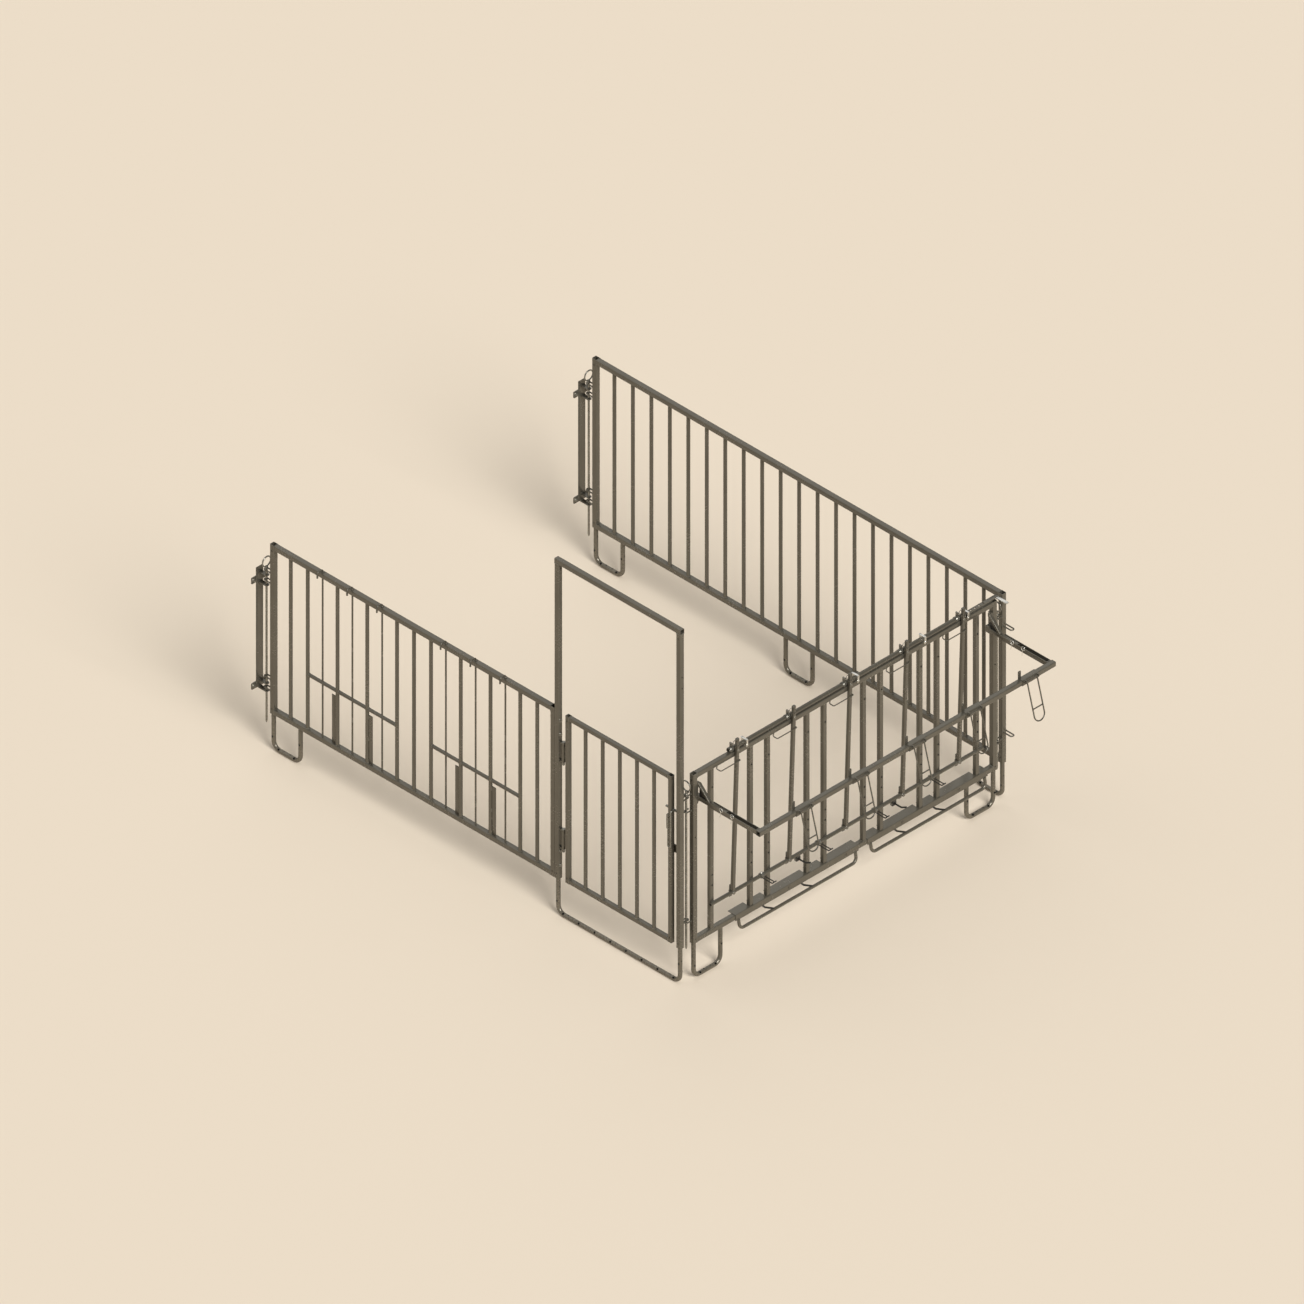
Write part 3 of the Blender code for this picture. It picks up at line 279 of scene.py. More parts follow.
def weldRing(piece, at, way, radius, bead=0.0021, paint=1):     # a bead round a bar's end
    bm = bmesh.new()
    made = bmesh.ops.create_circle(bm, cap_ends=False, radius=bead, segments=6,
        matrix=Matrix.Translation((radius, 0, 0)) @ Matrix.Rotation(math.pi / 2, 4, "X"))
    rim = rimOf(made)
    bmesh.ops.spin(bm, geom=rim, cent=(0, 0, 0), axis=(0, 0, 1), angle=math.tau, steps=16, use_merge=True)
    bmesh.ops.remove_doubles(bm, verts=bm.verts, dist=mergeReach)
    for v in bm.verts:
        v.co *= 1 + rng.uniform(-0.02, 0.02)
    bmesh.ops.transform(bm, matrix=aim(at, at + way), verts=bm.verts)
    addTo(piece, bm, paint)


def weldSeam(piece, start, end, bead=plainBead, paint=1):     # a straight bead with its ripples
    bm = bmesh.new()
    length = (end - start).length
    count = max(3, round(length / 0.005))
    made = bmesh.ops.create_circle(bm, cap_ends=True, radius=bead, segments=6, matrix=aim(start, end))
    rim = rimOf(made)
    for _ in range(count):
        rim, moved = growRim(bm, rim, (end - start) / count)
        middle = sum((v.co for v in moved), Vector()) / len(moved)
        swell = rng.uniform(0.88, 1.12)
        for v in moved:
            v.co = middle + (v.co - middle).normalized() * bead * swell
    bmesh.ops.contextual_create(bm, geom=rim)
    addTo(piece, bm, paint)


def seam(piece, x, y, z, bead=plainBead):
    weldSeam(piece, *ends(x, y, z), bead)


def weldSquare(piece, at, way, size):     # four beads round a square bar's end
    turn = aim(at, at + way)
    a = size / 2
    corners = [turn @ Vector(c) for c in ((a, a, 0), (-a, a, 0), (-a, -a, 0), (a, -a, 0))]
    for first, second in zip(corners, corners[1:] + corners[:1]):
        weldSeam(piece, first, second)


def hexHead(piece, at, way, radius, tall, washer=1.3, paint=2):
    bm = bmesh.new()
    bmesh.ops.create_cone(bm, cap_ends=True, segments=6, radius1=radius, radius2=radius, depth=tall,
        matrix=Matrix.Translation((0, 0, tall / 2)))
    rims = [e for e in bm.edges if all(v.co.z > tall * 0.9 for v in e.verts)]
    soften(bm, rims, radius * 0.12, 2)
    bmesh.ops.transform(bm, matrix=aim(at, at + way), verts=bm.verts)
    addTo(piece, bm, paint)
    if washer:
        r = radius * washer
        t = min(0.0012, tall * 0.3)
        ring = turned(at, way, [(0, 0), (r, 0), (r, t * 0.7), (r - t * 0.3, t), (0, t)], 20)
        addTo(piece, ring, paint)


def finishPiece(bm, name, body, nodes=None, slot="coated_steel", finishes=None):
    mesh = bpy.data.meshes.new(name)
    bm.to_mesh(mesh)
    bm.free()
    for finish in finishes or steelSet:
        mesh.materials.append(finish)
    mesh.set_sharp_from_angle(angle=math.radians(sharpAngle))
    piece = newObject(name, mesh)
    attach(piece, body)
    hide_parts(*(nodes or [body]))


# shared effects
def group(name, ins, outs):
    tree = bpy.data.node_groups.new(name, "ShaderNodeTree")
    for label, value in ins.items():
        socket = tree.interface.new_socket(name=label, in_out="INPUT", socket_type="NodeSocketFloat")
        socket.default_value = value
    for label in outs:
        tree.interface.new_socket(name=label, in_out="OUTPUT", socket_type="NodeSocketFloat")
    return tree, tree.nodes.new("NodeGroupInput").outputs, tree.nodes.new("NodeGroupOutput").inputs


def fill(tree, inputs, values):     # a socket is linked, any other value is set
    for label, value in values.items():
        if isinstance(value, bpy.types.NodeSocket):
            tree.links.new(value, inputs[label])
        else:
            inputs[label].default_value = value


def node(tree, kind, values, **settings):
    made = tree.nodes.new("ShaderNode" + kind)
    for key, value in settings.items():
        setattr(made, key, value)
    fill(tree, made.inputs, values)
    return made.outputs


def mathNode(tree, operation, a, b, clamp=False):
    return node(tree, "Math", {0: a, 1: b}, operation=operation, use_clamp=clamp)[0]


def times(tree, a, b, clamp=False):
    return mathNode(tree, "MULTIPLY", a, b, clamp)


def plus(tree, a, b, clamp=False):
    return mathNode(tree, "ADD", a, b, clamp)


def texturePlace(tree, kind="Object"):
    return node(tree, "TexCoord", {})[kind]


def noise(tree, scale, detail, place, roughness=0.5):
    values = {"Vector": place, "Scale": scale, "Detail": detail, "Roughness": roughness}
    return node(tree, "TexNoise", values)["Fac"]


def mixColour(tree, mask, *colours):
    first, second = [c if isinstance(c, bpy.types.NodeSocket) else (*c, 1) for c in colours]
    return node(tree, "Mix", {"Factor": mask, 6: first, 7: second}, data_type="RGBA")[2]


def span(tree, value, low, high, start=0.3, end=0.7):     # a 0 to 1 pattern spread over a range
    values = {"Value": value, "From Min": start, "From Max": end, "To Min": low, "To Max": high}
    return node(tree, "MapRange", values)[0]


def edgeWearGroup():     # bare, rubbed metal along the edges
    tree, ins, outs = group("edgeWear", {"Radius": 0.002, "Amount": 1.0}, ["Mask"])
    rounded = node(tree, "Bevel", {"Radius": ins["Radius"]}, samples=4)[0]
    flat = node(tree, "NewGeometry", {})["Normal"]
    same = node(tree, "VectorMath", {0: rounded, 1: flat}, operation="DOT_PRODUCT")["Value"]
    lost = mathNode(tree, "SUBTRACT", 1.0, same)
    patches = times(tree, noise(tree, 35, 4, texturePlace(tree)), 9.0)
    strong = times(tree, lost, patches)
    fill(tree, outs, {"Mask": times(tree, strong, ins["Amount"], True)})
    return tree


def grainGroup():     # fine unevenness of a dipped or sprayed coat
    tree, ins, outs = group("coatGrain", {"Scale": 400.0, "Broad": 9.0}, ["Fine", "Cloud"])
    place = texturePlace(tree)
    fill(tree, outs, {"Fine": noise(tree, ins["Scale"], 3, place),
                      "Cloud": noise(tree, ins["Broad"], 5, place, 0.6)})
    return tree


def runsGroup():     # faint drips and streaks that run down an upright
    tree, ins, outs = group("downRuns", {"Amount": 1.0}, ["Mask"])
    long = node(tree, "Mapping", {"Vector": texturePlace(tree), "Scale": (90, 90, 3.5)})["Vector"]
    streaks = span(tree, noise(tree, 1.0, 6, long), 0, 1, 0.52, 0.72)
    fill(tree, outs, {"Mask": times(tree, streaks, ins["Amount"])})
    return tree


def dustGroup():     # litter dust on whatever is near the floor
    tree, ins, outs = group("floorDust", {"Height": 0.25, "Amount": 0.5}, ["Mask"])
    place = texturePlace(tree)
    height = node(tree, "SeparateXYZ", {0: place})["Z"]
    low = mathNode(tree, "SUBTRACT", 1.0, mathNode(tree, "DIVIDE", height, ins["Height"]))
    held = plus(tree, low, 0.0, True)
    patchy = times(tree, held, times(tree, noise(tree, 14, 6, place), 1.6))
    fill(tree, outs, {"Mask": times(tree, patchy, ins["Amount"])})
    return tree


def spangleGroup():     # crystal flowers of a zinc coat
    tree, ins, outs = group("zincSpangle", {"Scale": 110.0}, ["Cell"])
    cells = node(tree, "TexVoronoi", {"Vector": texturePlace(tree), "Scale": ins["Scale"]})
    fill(tree, outs, {"Cell": node(tree, "RGBToBW", {0: cells["Color"]})[0]})
    return tree


effects = {"wear": edgeWearGroup(), "grain": grainGroup(), "runs": runsGroup(),
           "dust": dustGroup(), "spangle": spangleGroup()}


def effect(tree, name, **values):
    return node(tree, "Group", values, node_tree=effects[name])


def metalFinish(name, look):
    finish = bpy.data.materials.new(name)
    finish.use_nodes = True
    tree = finish.node_tree
    grain = effect(tree, "grain", Scale=look["grain"], Broad=look["cloud"])
    colour = mixColour(tree, span(tree, grain["Cloud"], 0, 1), look["dark"], look["light"])
    rough = span(tree, grain["Cloud"], *look["rough"])
    if look.get("spangle"):
        cell = effect(tree, "spangle", Scale=look["spangle"])["Cell"]
        colour = mixColour(tree, span(tree, cell, 0, look["flower"], 0, 1), colour, look["light"])
        rough = plus(tree, rough, span(tree, cell, -0.06, 0.08, 0, 1))
    # each layer: its settings, its colour and how much rougher it makes the steel
    layers = (("runs", {}, look.get("grime"), 0.15),
              ("wear", {"Radius": look.get("wearRadius")}, look.get("bare"), -0.08),
              ("dust", {"Height": 0.28}, (0.34, 0.29, 0.22), 0.3))
    for name, settings, tint, change in layers:
        if look.get(name):
            mask = effect(tree, name, Amount=look[name], **settings)["Mask"]
            colour = mixColour(tree, mask, colour, tint)
            rough = plus(tree, rough, times(tree, mask, change))
    bump = node(tree, "Bump", {"Strength": look["bump"], "Distance": 0.0004, "Height": grain["Fine"]})[0]
    fill(tree, tree.nodes["Principled BSDF"].inputs,
         {"Metallic": look["metallic"], "IOR": 1.5, "Base Color": colour, "Roughness": rough,
             "Normal": bump})
    return finish


coatLook = {"metallic": 0.45, "dark": (0.108, 0.098, 0.077), "light": (0.136, 0.124, 0.099),
    "rough": (0.15, 0.25), "grain": 420.0, "cloud": 3.5, "bump": 0.06, "spangle": 160.0, "flower": 0.10,
    "runs": 0.14, "grime": (0.060, 0.053, 0.041), "wear": 0.3, "wearRadius": 0.0014,
    "bare": (0.34, 0.32, 0.275), "dust": 0.22}
weldLook = {"metallic": 0.5, "dark": (0.085, 0.078, 0.062), "light": (0.22, 0.21, 0.175),
    "rough": (0.30, 0.50), "grain": 700.0, "cloud": 60.0, "bump": 0.5, "dust": 0.4}
wireLook = {"metallic": 0.5, "dark": (0.085, 0.077, 0.061), "light": (0.140, 0.129, 0.104),
    "rough": (0.18, 0.30), "grain": 600.0, "cloud": 14.0, "bump": 0.15, "wear": 0.5, "wearRadius": 0.0012,
    "bare": (0.40, 0.37, 0.32), "dust": 0.3}
brightLook = {"metallic": 0.9, "dark": (0.50, 0.49, 0.45), "light": (0.80, 0.79, 0.75),
    "rough": (0.16, 0.26), "grain": 500.0, "cloud": 26.0, "bump": 0.10, "spangle": 300.0, "flower": 0.4,
    "wear": 0.3, "wearRadius": 0.0010, "bare": (0.90, 0.89, 0.86)}
zincLook = {"metallic": 0.75, "dark": (0.15, 0.143, 0.122), "light": (0.30, 0.288, 0.25),
    "rough": (0.18, 0.30), "grain": 500.0, "cloud": 22.0, "bump": 0.12, "spangle": 260.0, "flower": 0.4,
    "runs": 0.2, "grime": (0.08, 0.07, 0.055), "wear": 0.4, "wearRadius": 0.0012,
    "bare": (0.60, 0.58, 0.54), "dust": 0.2}
coatedSteel = metalFinish("coatedSteel", coatLook)
weldSteel = metalFinish("weldSteel", weldLook)
darkWire = metalFinish("darkWire", wireLook)
zincSteel = metalFinish("zincSteel", zincLook)
brightSteel = metalFinish("brightSteel", brightLook)
# near-black finish: painted shade on the holes' inner faces, standing in for a hollow tube's dark inside,
# and the near-black colour of the stop blocks, pegs, hooks, gussets and loop braces
holeShadeAndNearBlackLook = dict(wireLook)
holeShadeAndNearBlackLook.update({"metallic": 0.1, "dark": (0.009, 0.008, 0.007), "light": (0.017, 0.015, 0.012),
    "rough": (0.45, 0.60), "wear": 0.04, "dust": 0.03})
holeShadeAndNearBlackSteel = metalFinish("holeShadeAndNearBlackSteel", holeShadeAndNearBlackLook)
steelSet = [coatedSteel, weldSteel, zincSteel, darkWire, brightSteel, holeShadeAndNearBlackSteel]
zincSlot = ("zinc_steel", [zincSteel])
wireSlot = ("dark_wire", [darkWire, weldSteel])
print("finishes made")


# side panels
panelShape = {"tube": 0.030, "half": 0.015, "top": 1.300, "bottom": 0.230, "bar": 0.01065, "eyeWire": 0.004,
    "eyeBend": 0.0108, "wallPinOut": -0.053, "eyesUp": (0.386, 1.160), "cornerPinOut": 2.972,
    "cornerGap": 0.042, "boltsUp": (0.314, 0.405, 1.143, 1.229), "drainsUp": (0.262, 1.262),
    "holeHalf": 0.006, "boltHole": 0.0065, "wall": 0.002}
wallEyesUp = (0.371, 0.440, 1.050, 1.115)
farLook = {"across": 2.355, "length": 2.970, "bars": 21}
nearLook = {"length": 2.050, "narrow": 0.12417, "midRail": 0.600, "midRadius": 0.01025, "guardWidth": 0.030,
    "guardUp": (0.250, 0.565), "rodHole": 0.0055}
up = Vector((0, 0, 1))
out = Vector((0, -1, 0))
across = Vector((1, 0, 0))


# near-black painted shade on the faces inside each hole stands in for the dark inside of a hollow tube
def shadeHoles(piece, holes):
    for start, end, radius in holes:
        way = (end - start).normalized()
        length = (end - start).length
        for face in piece.faces:
            inside = True
            for vert in face.verts:
                offset = vert.co - start
                along = offset.dot(way)
                if not -0.0001 < along < length + 0.0001 or (offset - way * along).length > radius * 1.02:
                    inside = False
                    break
            if inside:
                # this face inside a hole takes the near-black painted shade
                face.material_index = steelSet.index(holeShadeAndNearBlackSteel)


def post(piece, at, foot, top, size=0.030, holes=(), wall=panelShape["wall"], corner=0.0035):
    shape = squareBar(spot(*at, foot), spot(*at, top), size, corner, wall)
    reach = panelShape["holeHalf"]
    holes = [(place - way * reach, place + way * reach, radius) for place, way, radius in holes]
    if holes:
        shape = drill(shape, [roundBar(*hole, 14) for hole in holes])
    addTo(piece, shape)
    # the holes' inner faces get near-black painted shade
    shadeHoles(piece, holes)


# a drain hole in one side of a post
def drain(at, side, height, radius=0.0044, half=panelShape["half"]):
    return (spot(*at, height) + side * (half - 0.001), side, radius)


def boltHoles(place):     # through both sides of a post
    reach = panelShape["half"] - 0.001
    return [(spot(0, place + side * reach, h), out, panelShape["boltHole"]) for h in panelShape["boltsUp"]
        for side in (-1, 1)]


def rail(piece, start, end, size):     # solid run between two posts
    way = (end - start).normalized()
    addTo(piece, squareBar(start - way * overlap, end + way * overlap, size))
    for at in (start, end):
        weldSquare(piece, at, way, size - 0.001)


def upBar(piece, x, y, low, high):
    a = spot(x, y, low)
    b = spot(x, y, high)
    addTo(piece, roundBar(a - up * overlap, b + up * overlap, panelShape["bar"]))
    weldRing(piece, a + up * 0.0008, up, panelShape["bar"])
    weldRing(piece, b - up * 0.0008, up, panelShape["bar"])


def eyeWire(piece, pin, base, height):     # flat wire eye welded on a post, round a pin
    toward = Vector((pin[0] - base[0], pin[1] - base[1]))
    toward.normalize()
    side = Vector((-toward.y, toward.x)) * panelShape["eyeBend"]
    start = Vector(base) - toward * 0.0008
    nose = Vector(pin) + toward * panelShape["eyeBend"]
    path = [start - side, nose - side, nose + side, start + side]
    addTo(piece, bentBar([spot(p.x, p.y, height) for p in path], panelShape["eyeWire"],
        panelShape["eyeBend"] * 0.98, 12, 8))
    for p in (path[0], path[3]):
        weldRing(piece, spot(p.x, p.y, height) + Vector((toward.x, -toward.y, 0)) * 0.001,
            Vector((toward.x, -toward.y, 0)), 0.004, 0.0016)


def farPanel():
    piece = bmesh.new()
    shape = panelShape
    x = farLook["across"]
    half = shape["half"]
    for y in (0.0, farLook["length"]):
        drains = [drain((x, y), -across, h) for h in shape["drainsUp"]]
        drains.append(drain((x, y), across, shape["drainsUp"][0]))
        post(piece, (x, y), shape["bottom"], shape["top"], holes=drains)
    for low in (shape["bottom"], shape["top"] - shape["tube"]):
        rail(piece, spot(x, half, low + half), spot(x, farLook["length"] - half, low + half), shape["tube"])
    pitch = farLook["length"] / (farLook["bars"] + 1)
    for index in range(farLook["bars"]):
        upBar(piece, x, (index + 1) * pitch, shape["bottom"] + shape["tube"], shape["top"] - shape["tube"])
    for height in wallEyesUp:
        eyeWire(piece, (x, shape["wallPinOut"]), (x, -half), height)
    for height in (0.430, 1.102):
        eyeWire(piece, (x, farLook["length"] + half - shape["wallPinOut"]), (x, farLook["length"] + half),
            height)
    for height in shape["eyesUp"]:
        eyeWire(piece, (x - shape["cornerGap"], shape["cornerPinOut"]), (x - half, shape["cornerPinOut"]),
            height)
    finishPiece(piece, "farPanelSteel", "pen", ["far_side_panel"])


def groupStarts():
    wide = (nearLook["length"] - 6 * nearLook["narrow"]) / 6
    return wide, [2 * nearLook["narrow"], 4 * nearLook["narrow"] + 3 * wide]


def nearPanel():
    look = nearLook
    length, midRail = look["length"], look["midRail"]
    piece = bmesh.new()
    shape = panelShape
    half = shape["half"]
    wide, starts = groupStarts()
    drains = [drain((0, 0), -across, h) for h in shape["drainsUp"]]
    post(piece, (0, 0), shape["bottom"], shape["top"], holes=drains)
    post(piece, (0, length), shape["bottom"], shape["top"],
        holes=boltHoles(length) + [drain((0, length), -across, panelShape["drainsUp"][0])])
    low = shape["bottom"] + shape["tube"]
    high = shape["top"] - shape["tube"]
    rail(piece, spot(0, half, low - half), spot(0, length - half, low - half), shape["tube"])
    # the top rail is drilled for the lift-out rods
    start = spot(0, half - overlap, high + half)
    end = spot(0, length - half + overlap, high + half)
    topRail = squareBar(start, end, shape["tube"], 0.003)
    rods = [s + (k + 0.5) * wide for s in starts for k in range(3)]
    cutters = [rod(0, y, (high - 0.01, shape["top"] + 0.01), look["rodHole"], 16) for y in rods]
    addTo(piece, drill(topRail, cutters))
    for y in (half, length - half):
        weldSquare(piece, spot(0, y, high + half), out, shape["tube"] - 0.001)
    bars = [length - look["narrow"]]
    for s in starts:
        bars += [s - look["narrow"]] + [s + k * wide for k in range(4)]
    for y in bars:
        upBar(piece, 0, y, low, high)
    for s in starts:
        a = spot(0, s, midRail)
        b = spot(0, s + 3 * wide, midRail)
        addTo(piece, roundBar(a, b, look["midRadius"], 20))
        for k in range(4):
            for side in (-1, 1):
                y = s + k * wide + side * (shape["bar"] - 0.0005)
                if s - 0.001 < y < s + 3 * wide + 0.001:
                    weldRing(piece, spot(0, y, midRail), out, look["midRadius"] * 0.95, 0.002)
        for bar, way in ((s + wide, -1), (s + 2 * wide, 1)):
            inner = bar + way * (shape["bar"] - 0.0016)
            outer = inner + way * look["guardWidth"]
            addTo(piece, plate((-0.0025, 0.0025), (inner, outer), look["guardUp"], 0.0009))
            edge = bar + way * shape["bar"] * 0.97
            for h in (0.262, 0.402, 0.538):
                for side in (-1, 1):
                    seam(piece, side * 0.0028, edge, (h, h + 0.022), 0.0019)
    for height in wallEyesUp:
        eyeWire(piece, (0, shape["wallPinOut"]), (0, -half), height)
    finishPiece(piece, "nearPanelSteel", "pen", ["near_side_panel"])
    return rods


farPanel()
rodPlaces = nearPanel()
print("side panels made")


# lift-out rods, hooked over the near panel's top rail
liftLook = {"radius": 0.005, "foot": 0.245, "reach": 0.024, "drop": 0.035, "bend": 0.010,
    "collar": (0.010, 0.004)}


def liftRods():
    look = liftLook
    r = look["radius"]
    side = -panelShape["half"] - look["reach"]
    lift = panelShape["top"] + r + look["bend"]
    for number, y in enumerate(rodPlaces, 1):
        piece = bmesh.new()
        foot = spot(0, y, look["foot"])
        addTo(piece, turned(foot, up, [(0, 0), (r * 0.55, 0), (r, 0.003), (r, 0.006), (0, 0.006)], 14))
        wireRun(piece, [(0, y, look["foot"] + 0.005), (0, y, lift), (side, y, lift),
            (side, y, lift - look["drop"])], r, look["bend"], 14, 8)
        wide, tall = look["collar"]
        addTo(piece, turned(spot(0, y, panelShape["top"] + gap), up, collar(r * 0.9, wide, tall), 20))
        weldRing(piece, spot(0, y, panelShape["top"] + gap + tall), up, r, 0.0013)
        finishPiece(piece, f"liftRodSteel{number}", f"lift_out_rod_{number}", None, *wireSlot)


liftRods()


# feet and the doorway's threshold: bent tube with small drain holes and a row of larger holes
footLook = {"radius": 0.0125, "bend": 0.045, "entry": 0.060, "spread": 0.196, "bottom": 0.230,
    "drain": 0.0040, "dot": 0.0066, "dotPitch": 0.112, "dotStart": 0.042, "dotUps": (0.075, 0.118)}


def footTube(name, node, first, second, firstUp, secondUp):
    look = footLook
    dotStart = look["dotStart"]
    floor = look["radius"]
    points = [spot(*first, firstUp), spot(*first, floor), spot(*second, floor), spot(*second, secondUp)]
    shape = bentBar(points, look["radius"] * 0.992, look["bend"], 22, 12)
    along = (points[2] - points[1]).normalized()
    aside = along.cross(up)
    holes = []
    for at, way in ((points[1] + up * 0.135, -along), (points[2] + up * 0.135, along),
            (points[1] + up * 0.165, along), (points[1] + along * 0.075, up),
            (points[2] - along * 0.075, up)):
        holes.append((at - way * 0.008, at + way * 0.02, look["drain"]))
    facing = aside if aside.x + aside.y < 0 else -aside
    tilted = (facing * 0.8 + up * 0.6).normalized()
    length = (points[2] - points[1]).length
    count = max(2, round((length - 2 * dotStart) / look["dotPitch"]) + 1)
    for number in range(count):     # larger holes along the run and up the legs
        place = dotStart + (length - 2 * dotStart) * number / (count - 1)
        at = points[1] + along * place + (up * 0.004 if number in (0, count - 1) else up * 0)
        holes.append((at - tilted * 0.0082, at + tilted * 0.02, look["dot"]))
    for at in (points[1] + up * look["dotUps"][0], points[2] + up * look["dotUps"][1]):
        holes.append((at - facing * 0.0082, at + facing * 0.02, look["dot"]))
    piece = bmesh.new()
    addTo(piece, drill(shape, [roundBar(*hole, 14) for hole in holes]))
    # the holes' inner faces get near-black painted shade
    shadeHoles(piece, holes)
    for tip, height in ((points[3], secondUp), (points[0], firstUp)):
        if height < look["bottom"]:
            weldRing(piece, tip - up * 0.0012, up, look["radius"] * 0.985, 0.0012)
    finishPiece(piece, name, "pen", [node])


def feet():
    step = footLook["spread"]
    entry = footLook["bottom"] + footLook["entry"]
    under = footLook["bottom"] - gap
    far = farLook["across"]
    left, right, row = 0.0825, 2.2725, 2.985
    middle, corner = 1.485, 2.970
    half = step / 2
    tubes = (("thresholdTube", "doorway_threshold", (0, 2.080), (0, corner), entry, entry),
             ("nearWallFoot", "near_wall_foot", (0, 0), (0, step), entry, under),
             ("farWallFoot", "far_wall_foot", (far, 0), (far, step), entry, under),
             ("farMiddleFoot", "far_middle_foot", (far, middle - half), (far, middle + half), under, under),
             ("farFrontFoot", "far_front_foot", (far, corner), (far, corner - step), entry, under),
             ("frontLeftFoot", "front_left_foot", (left, row), (left + step, row), entry, under),
             ("frontRightFoot", "front_right_foot", (right, row), (right - step, row), entry, under))
    for name, node, first, second, firstUp, secondUp in tubes:
        footTube(name, node, first, second, firstUp, secondUp)


feet()
print("feet made")


# doorway and gate
doorLook = {"start": 2.080, "end": 2.970, "top": 2.250, "hingeOut": 2.118, "lug": 0.020, "plate": 0.005,
    "sleeves": ((0.435, 0.545), (0.985, 1.095)), "pin": 0.007, "sleeve": 0.011, "latchUp": 1.079,
    "stopUp": (0.800, 0.850)}
gateLook = {"tube": 0.025, "stiles": (2.154, 2.905), "up": (0.235, 1.290), "bars": 5, "latchRadius": 0.007,
    "latchEnds": (2.868, 2.953), "latchPlate": (0.040, 0.004), "latchPlateUp": (0.950, 1.040),
    "handleOut": 2.918, "handleUp": 0.851}


def doorway():
    look = doorLook
    stopUp, start, end = look["stopUp"], look["start"], look["end"]
    piece = bmesh.new()
    half = panelShape["half"]
    low = panelShape["bottom"]
    high = look["top"] - panelShape["tube"]
    firstHoles = boltHoles(start) + [drain((0, start), -across, panelShape["drainsUp"][0]),
        drain((0, start), out, 2.190)]
    post(piece, (0, start), low, high, holes=firstHoles)
    latchHole = (spot(0, end - half + 0.001, look["latchUp"]), out, 0.008)
    secondHoles = [latchHole, drain((0, end), -across, panelShape["drainsUp"][0]),
        drain((0, end), out, 1.945), drain((0, end), out, 1.876), drain((0, end), -across, 2.190)]
    post(piece, (0, end), low, high, holes=secondHoles)
    beam = squareRod(0, (start - half, end + half), high + half, panelShape["tube"], 0.0035, 0.002)
    addTo(piece, beam)
    for y in (start, end):
        weldSquare(piece, spot(0, y, high), up, panelShape["tube"] - 0.001)
    y = look["hingeOut"]
    for lowEnd, highEnd in look["sleeves"]:
        for h in (lowEnd - gap - look["plate"], highEnd + gap):
            lug = plate((-look["lug"] / 2, look["lug"] / 2), (start + half - 0.0008, y + look["sleeve"]),
                (h, h + look["plate"]), 0.0009)
            roundOff(lug, 2, 0.002, 0.0035, 3, y + look["sleeve"] - 0.004)
            addTo(piece, drill(lug, [rod(0, y, (h - 0.01, h + 0.02), look["pin"] + 0.0005, 20)]))
            for level in (h, h + look["plate"]):
                seam(piece, (-0.009, 0.009), start + half + 0.0008, level, fineBead)
    side = gateLook["tube"] / 2 + gap
    addTo(piece, plate((side, side + 0.005), (end - half - 0.060, end - half + 0.002), stopUp, 0.0009))
    for h in stopUp:
        seam(piece, (side + 0.0005, side + 0.005), end - half, h - 0.002 if h > 0.82 else h + 0.002,
            fineBead)
    for h in panelShape["eyesUp"]:
        eyeWire(piece, (panelShape["cornerGap"], panelShape["cornerPinOut"]),
            (half, panelShape["cornerPinOut"]), h)
    finishPiece(piece, "doorwaySteel", "pen", ["doorway_frame"])


def gate():
    look = gateLook
    piece = bmesh.new()
    size = look["tube"]
    half = size / 2
    first, second = look["stiles"]
    low, high = look["up"]
    drainHoles = [drain((0, first), -across, low + 0.03, half=half),
        drain((0, first), -across, high - 0.03, half=half)]
    post(piece, (0, first), low, high, size, drainHoles, 0.002, 0.003)
    latch = [(spot(0, second + s * (half - 0.001), doorLook["latchUp"]), out, look["latchRadius"] + 0.0006)
        for s in (-1, 1)]
    post(piece, (0, second), low, high, size, latch + [drain((0, second), -across, low + 0.03, half=half)],
        0.002, 0.003)
    for h in (low + half, high - half):
        rail(piece, spot(0, first + half, h), spot(0, second - half, h), size)
    pitch = (second - first) / (look["bars"] + 1)
    for index in range(look["bars"]):
        upBar(piece, 0, first + (index + 1) * pitch, low + size, high - size)
    y = doorLook["hingeOut"]
    for lowEnd, highEnd in doorLook["sleeves"]:
        addTo(piece, rod(0, y, (lowEnd, highEnd), doorLook["sleeve"], 24,
            doorLook["sleeve"] - doorLook["pin"] - 0.0005))
        addTo(piece, plate((-0.0025, 0.0025), (y + doorLook["pin"] + 0.0012, first - half + 0.0008),
            (lowEnd + 0.015, highEnd - 0.015), 0.0007))
        for side in (-1, 1):
            seam(piece, side * 0.0027, first - half - 0.0003, (lowEnd + 0.017, highEnd - 0.017), fineBead)
            seam(piece, side * 0.0027, y + doorLook["sleeve"] - 0.0003, (lowEnd + 0.017, highEnd - 0.017),
                fineBead)
    wide, thick = look["latchPlate"]
    plateUp = look["latchPlateUp"]
    addTo(piece, plate((-half - thick, -half + 0.0008), around(second, wide / 2), plateUp, 0.0009))
    for h in plateUp:
        seam(piece, -half - 0.0005, (second - half + 0.002, second + half - 0.002), h, fineBead)
    finishPiece(piece, "gateSteel", "gate", ["gate_frame"])


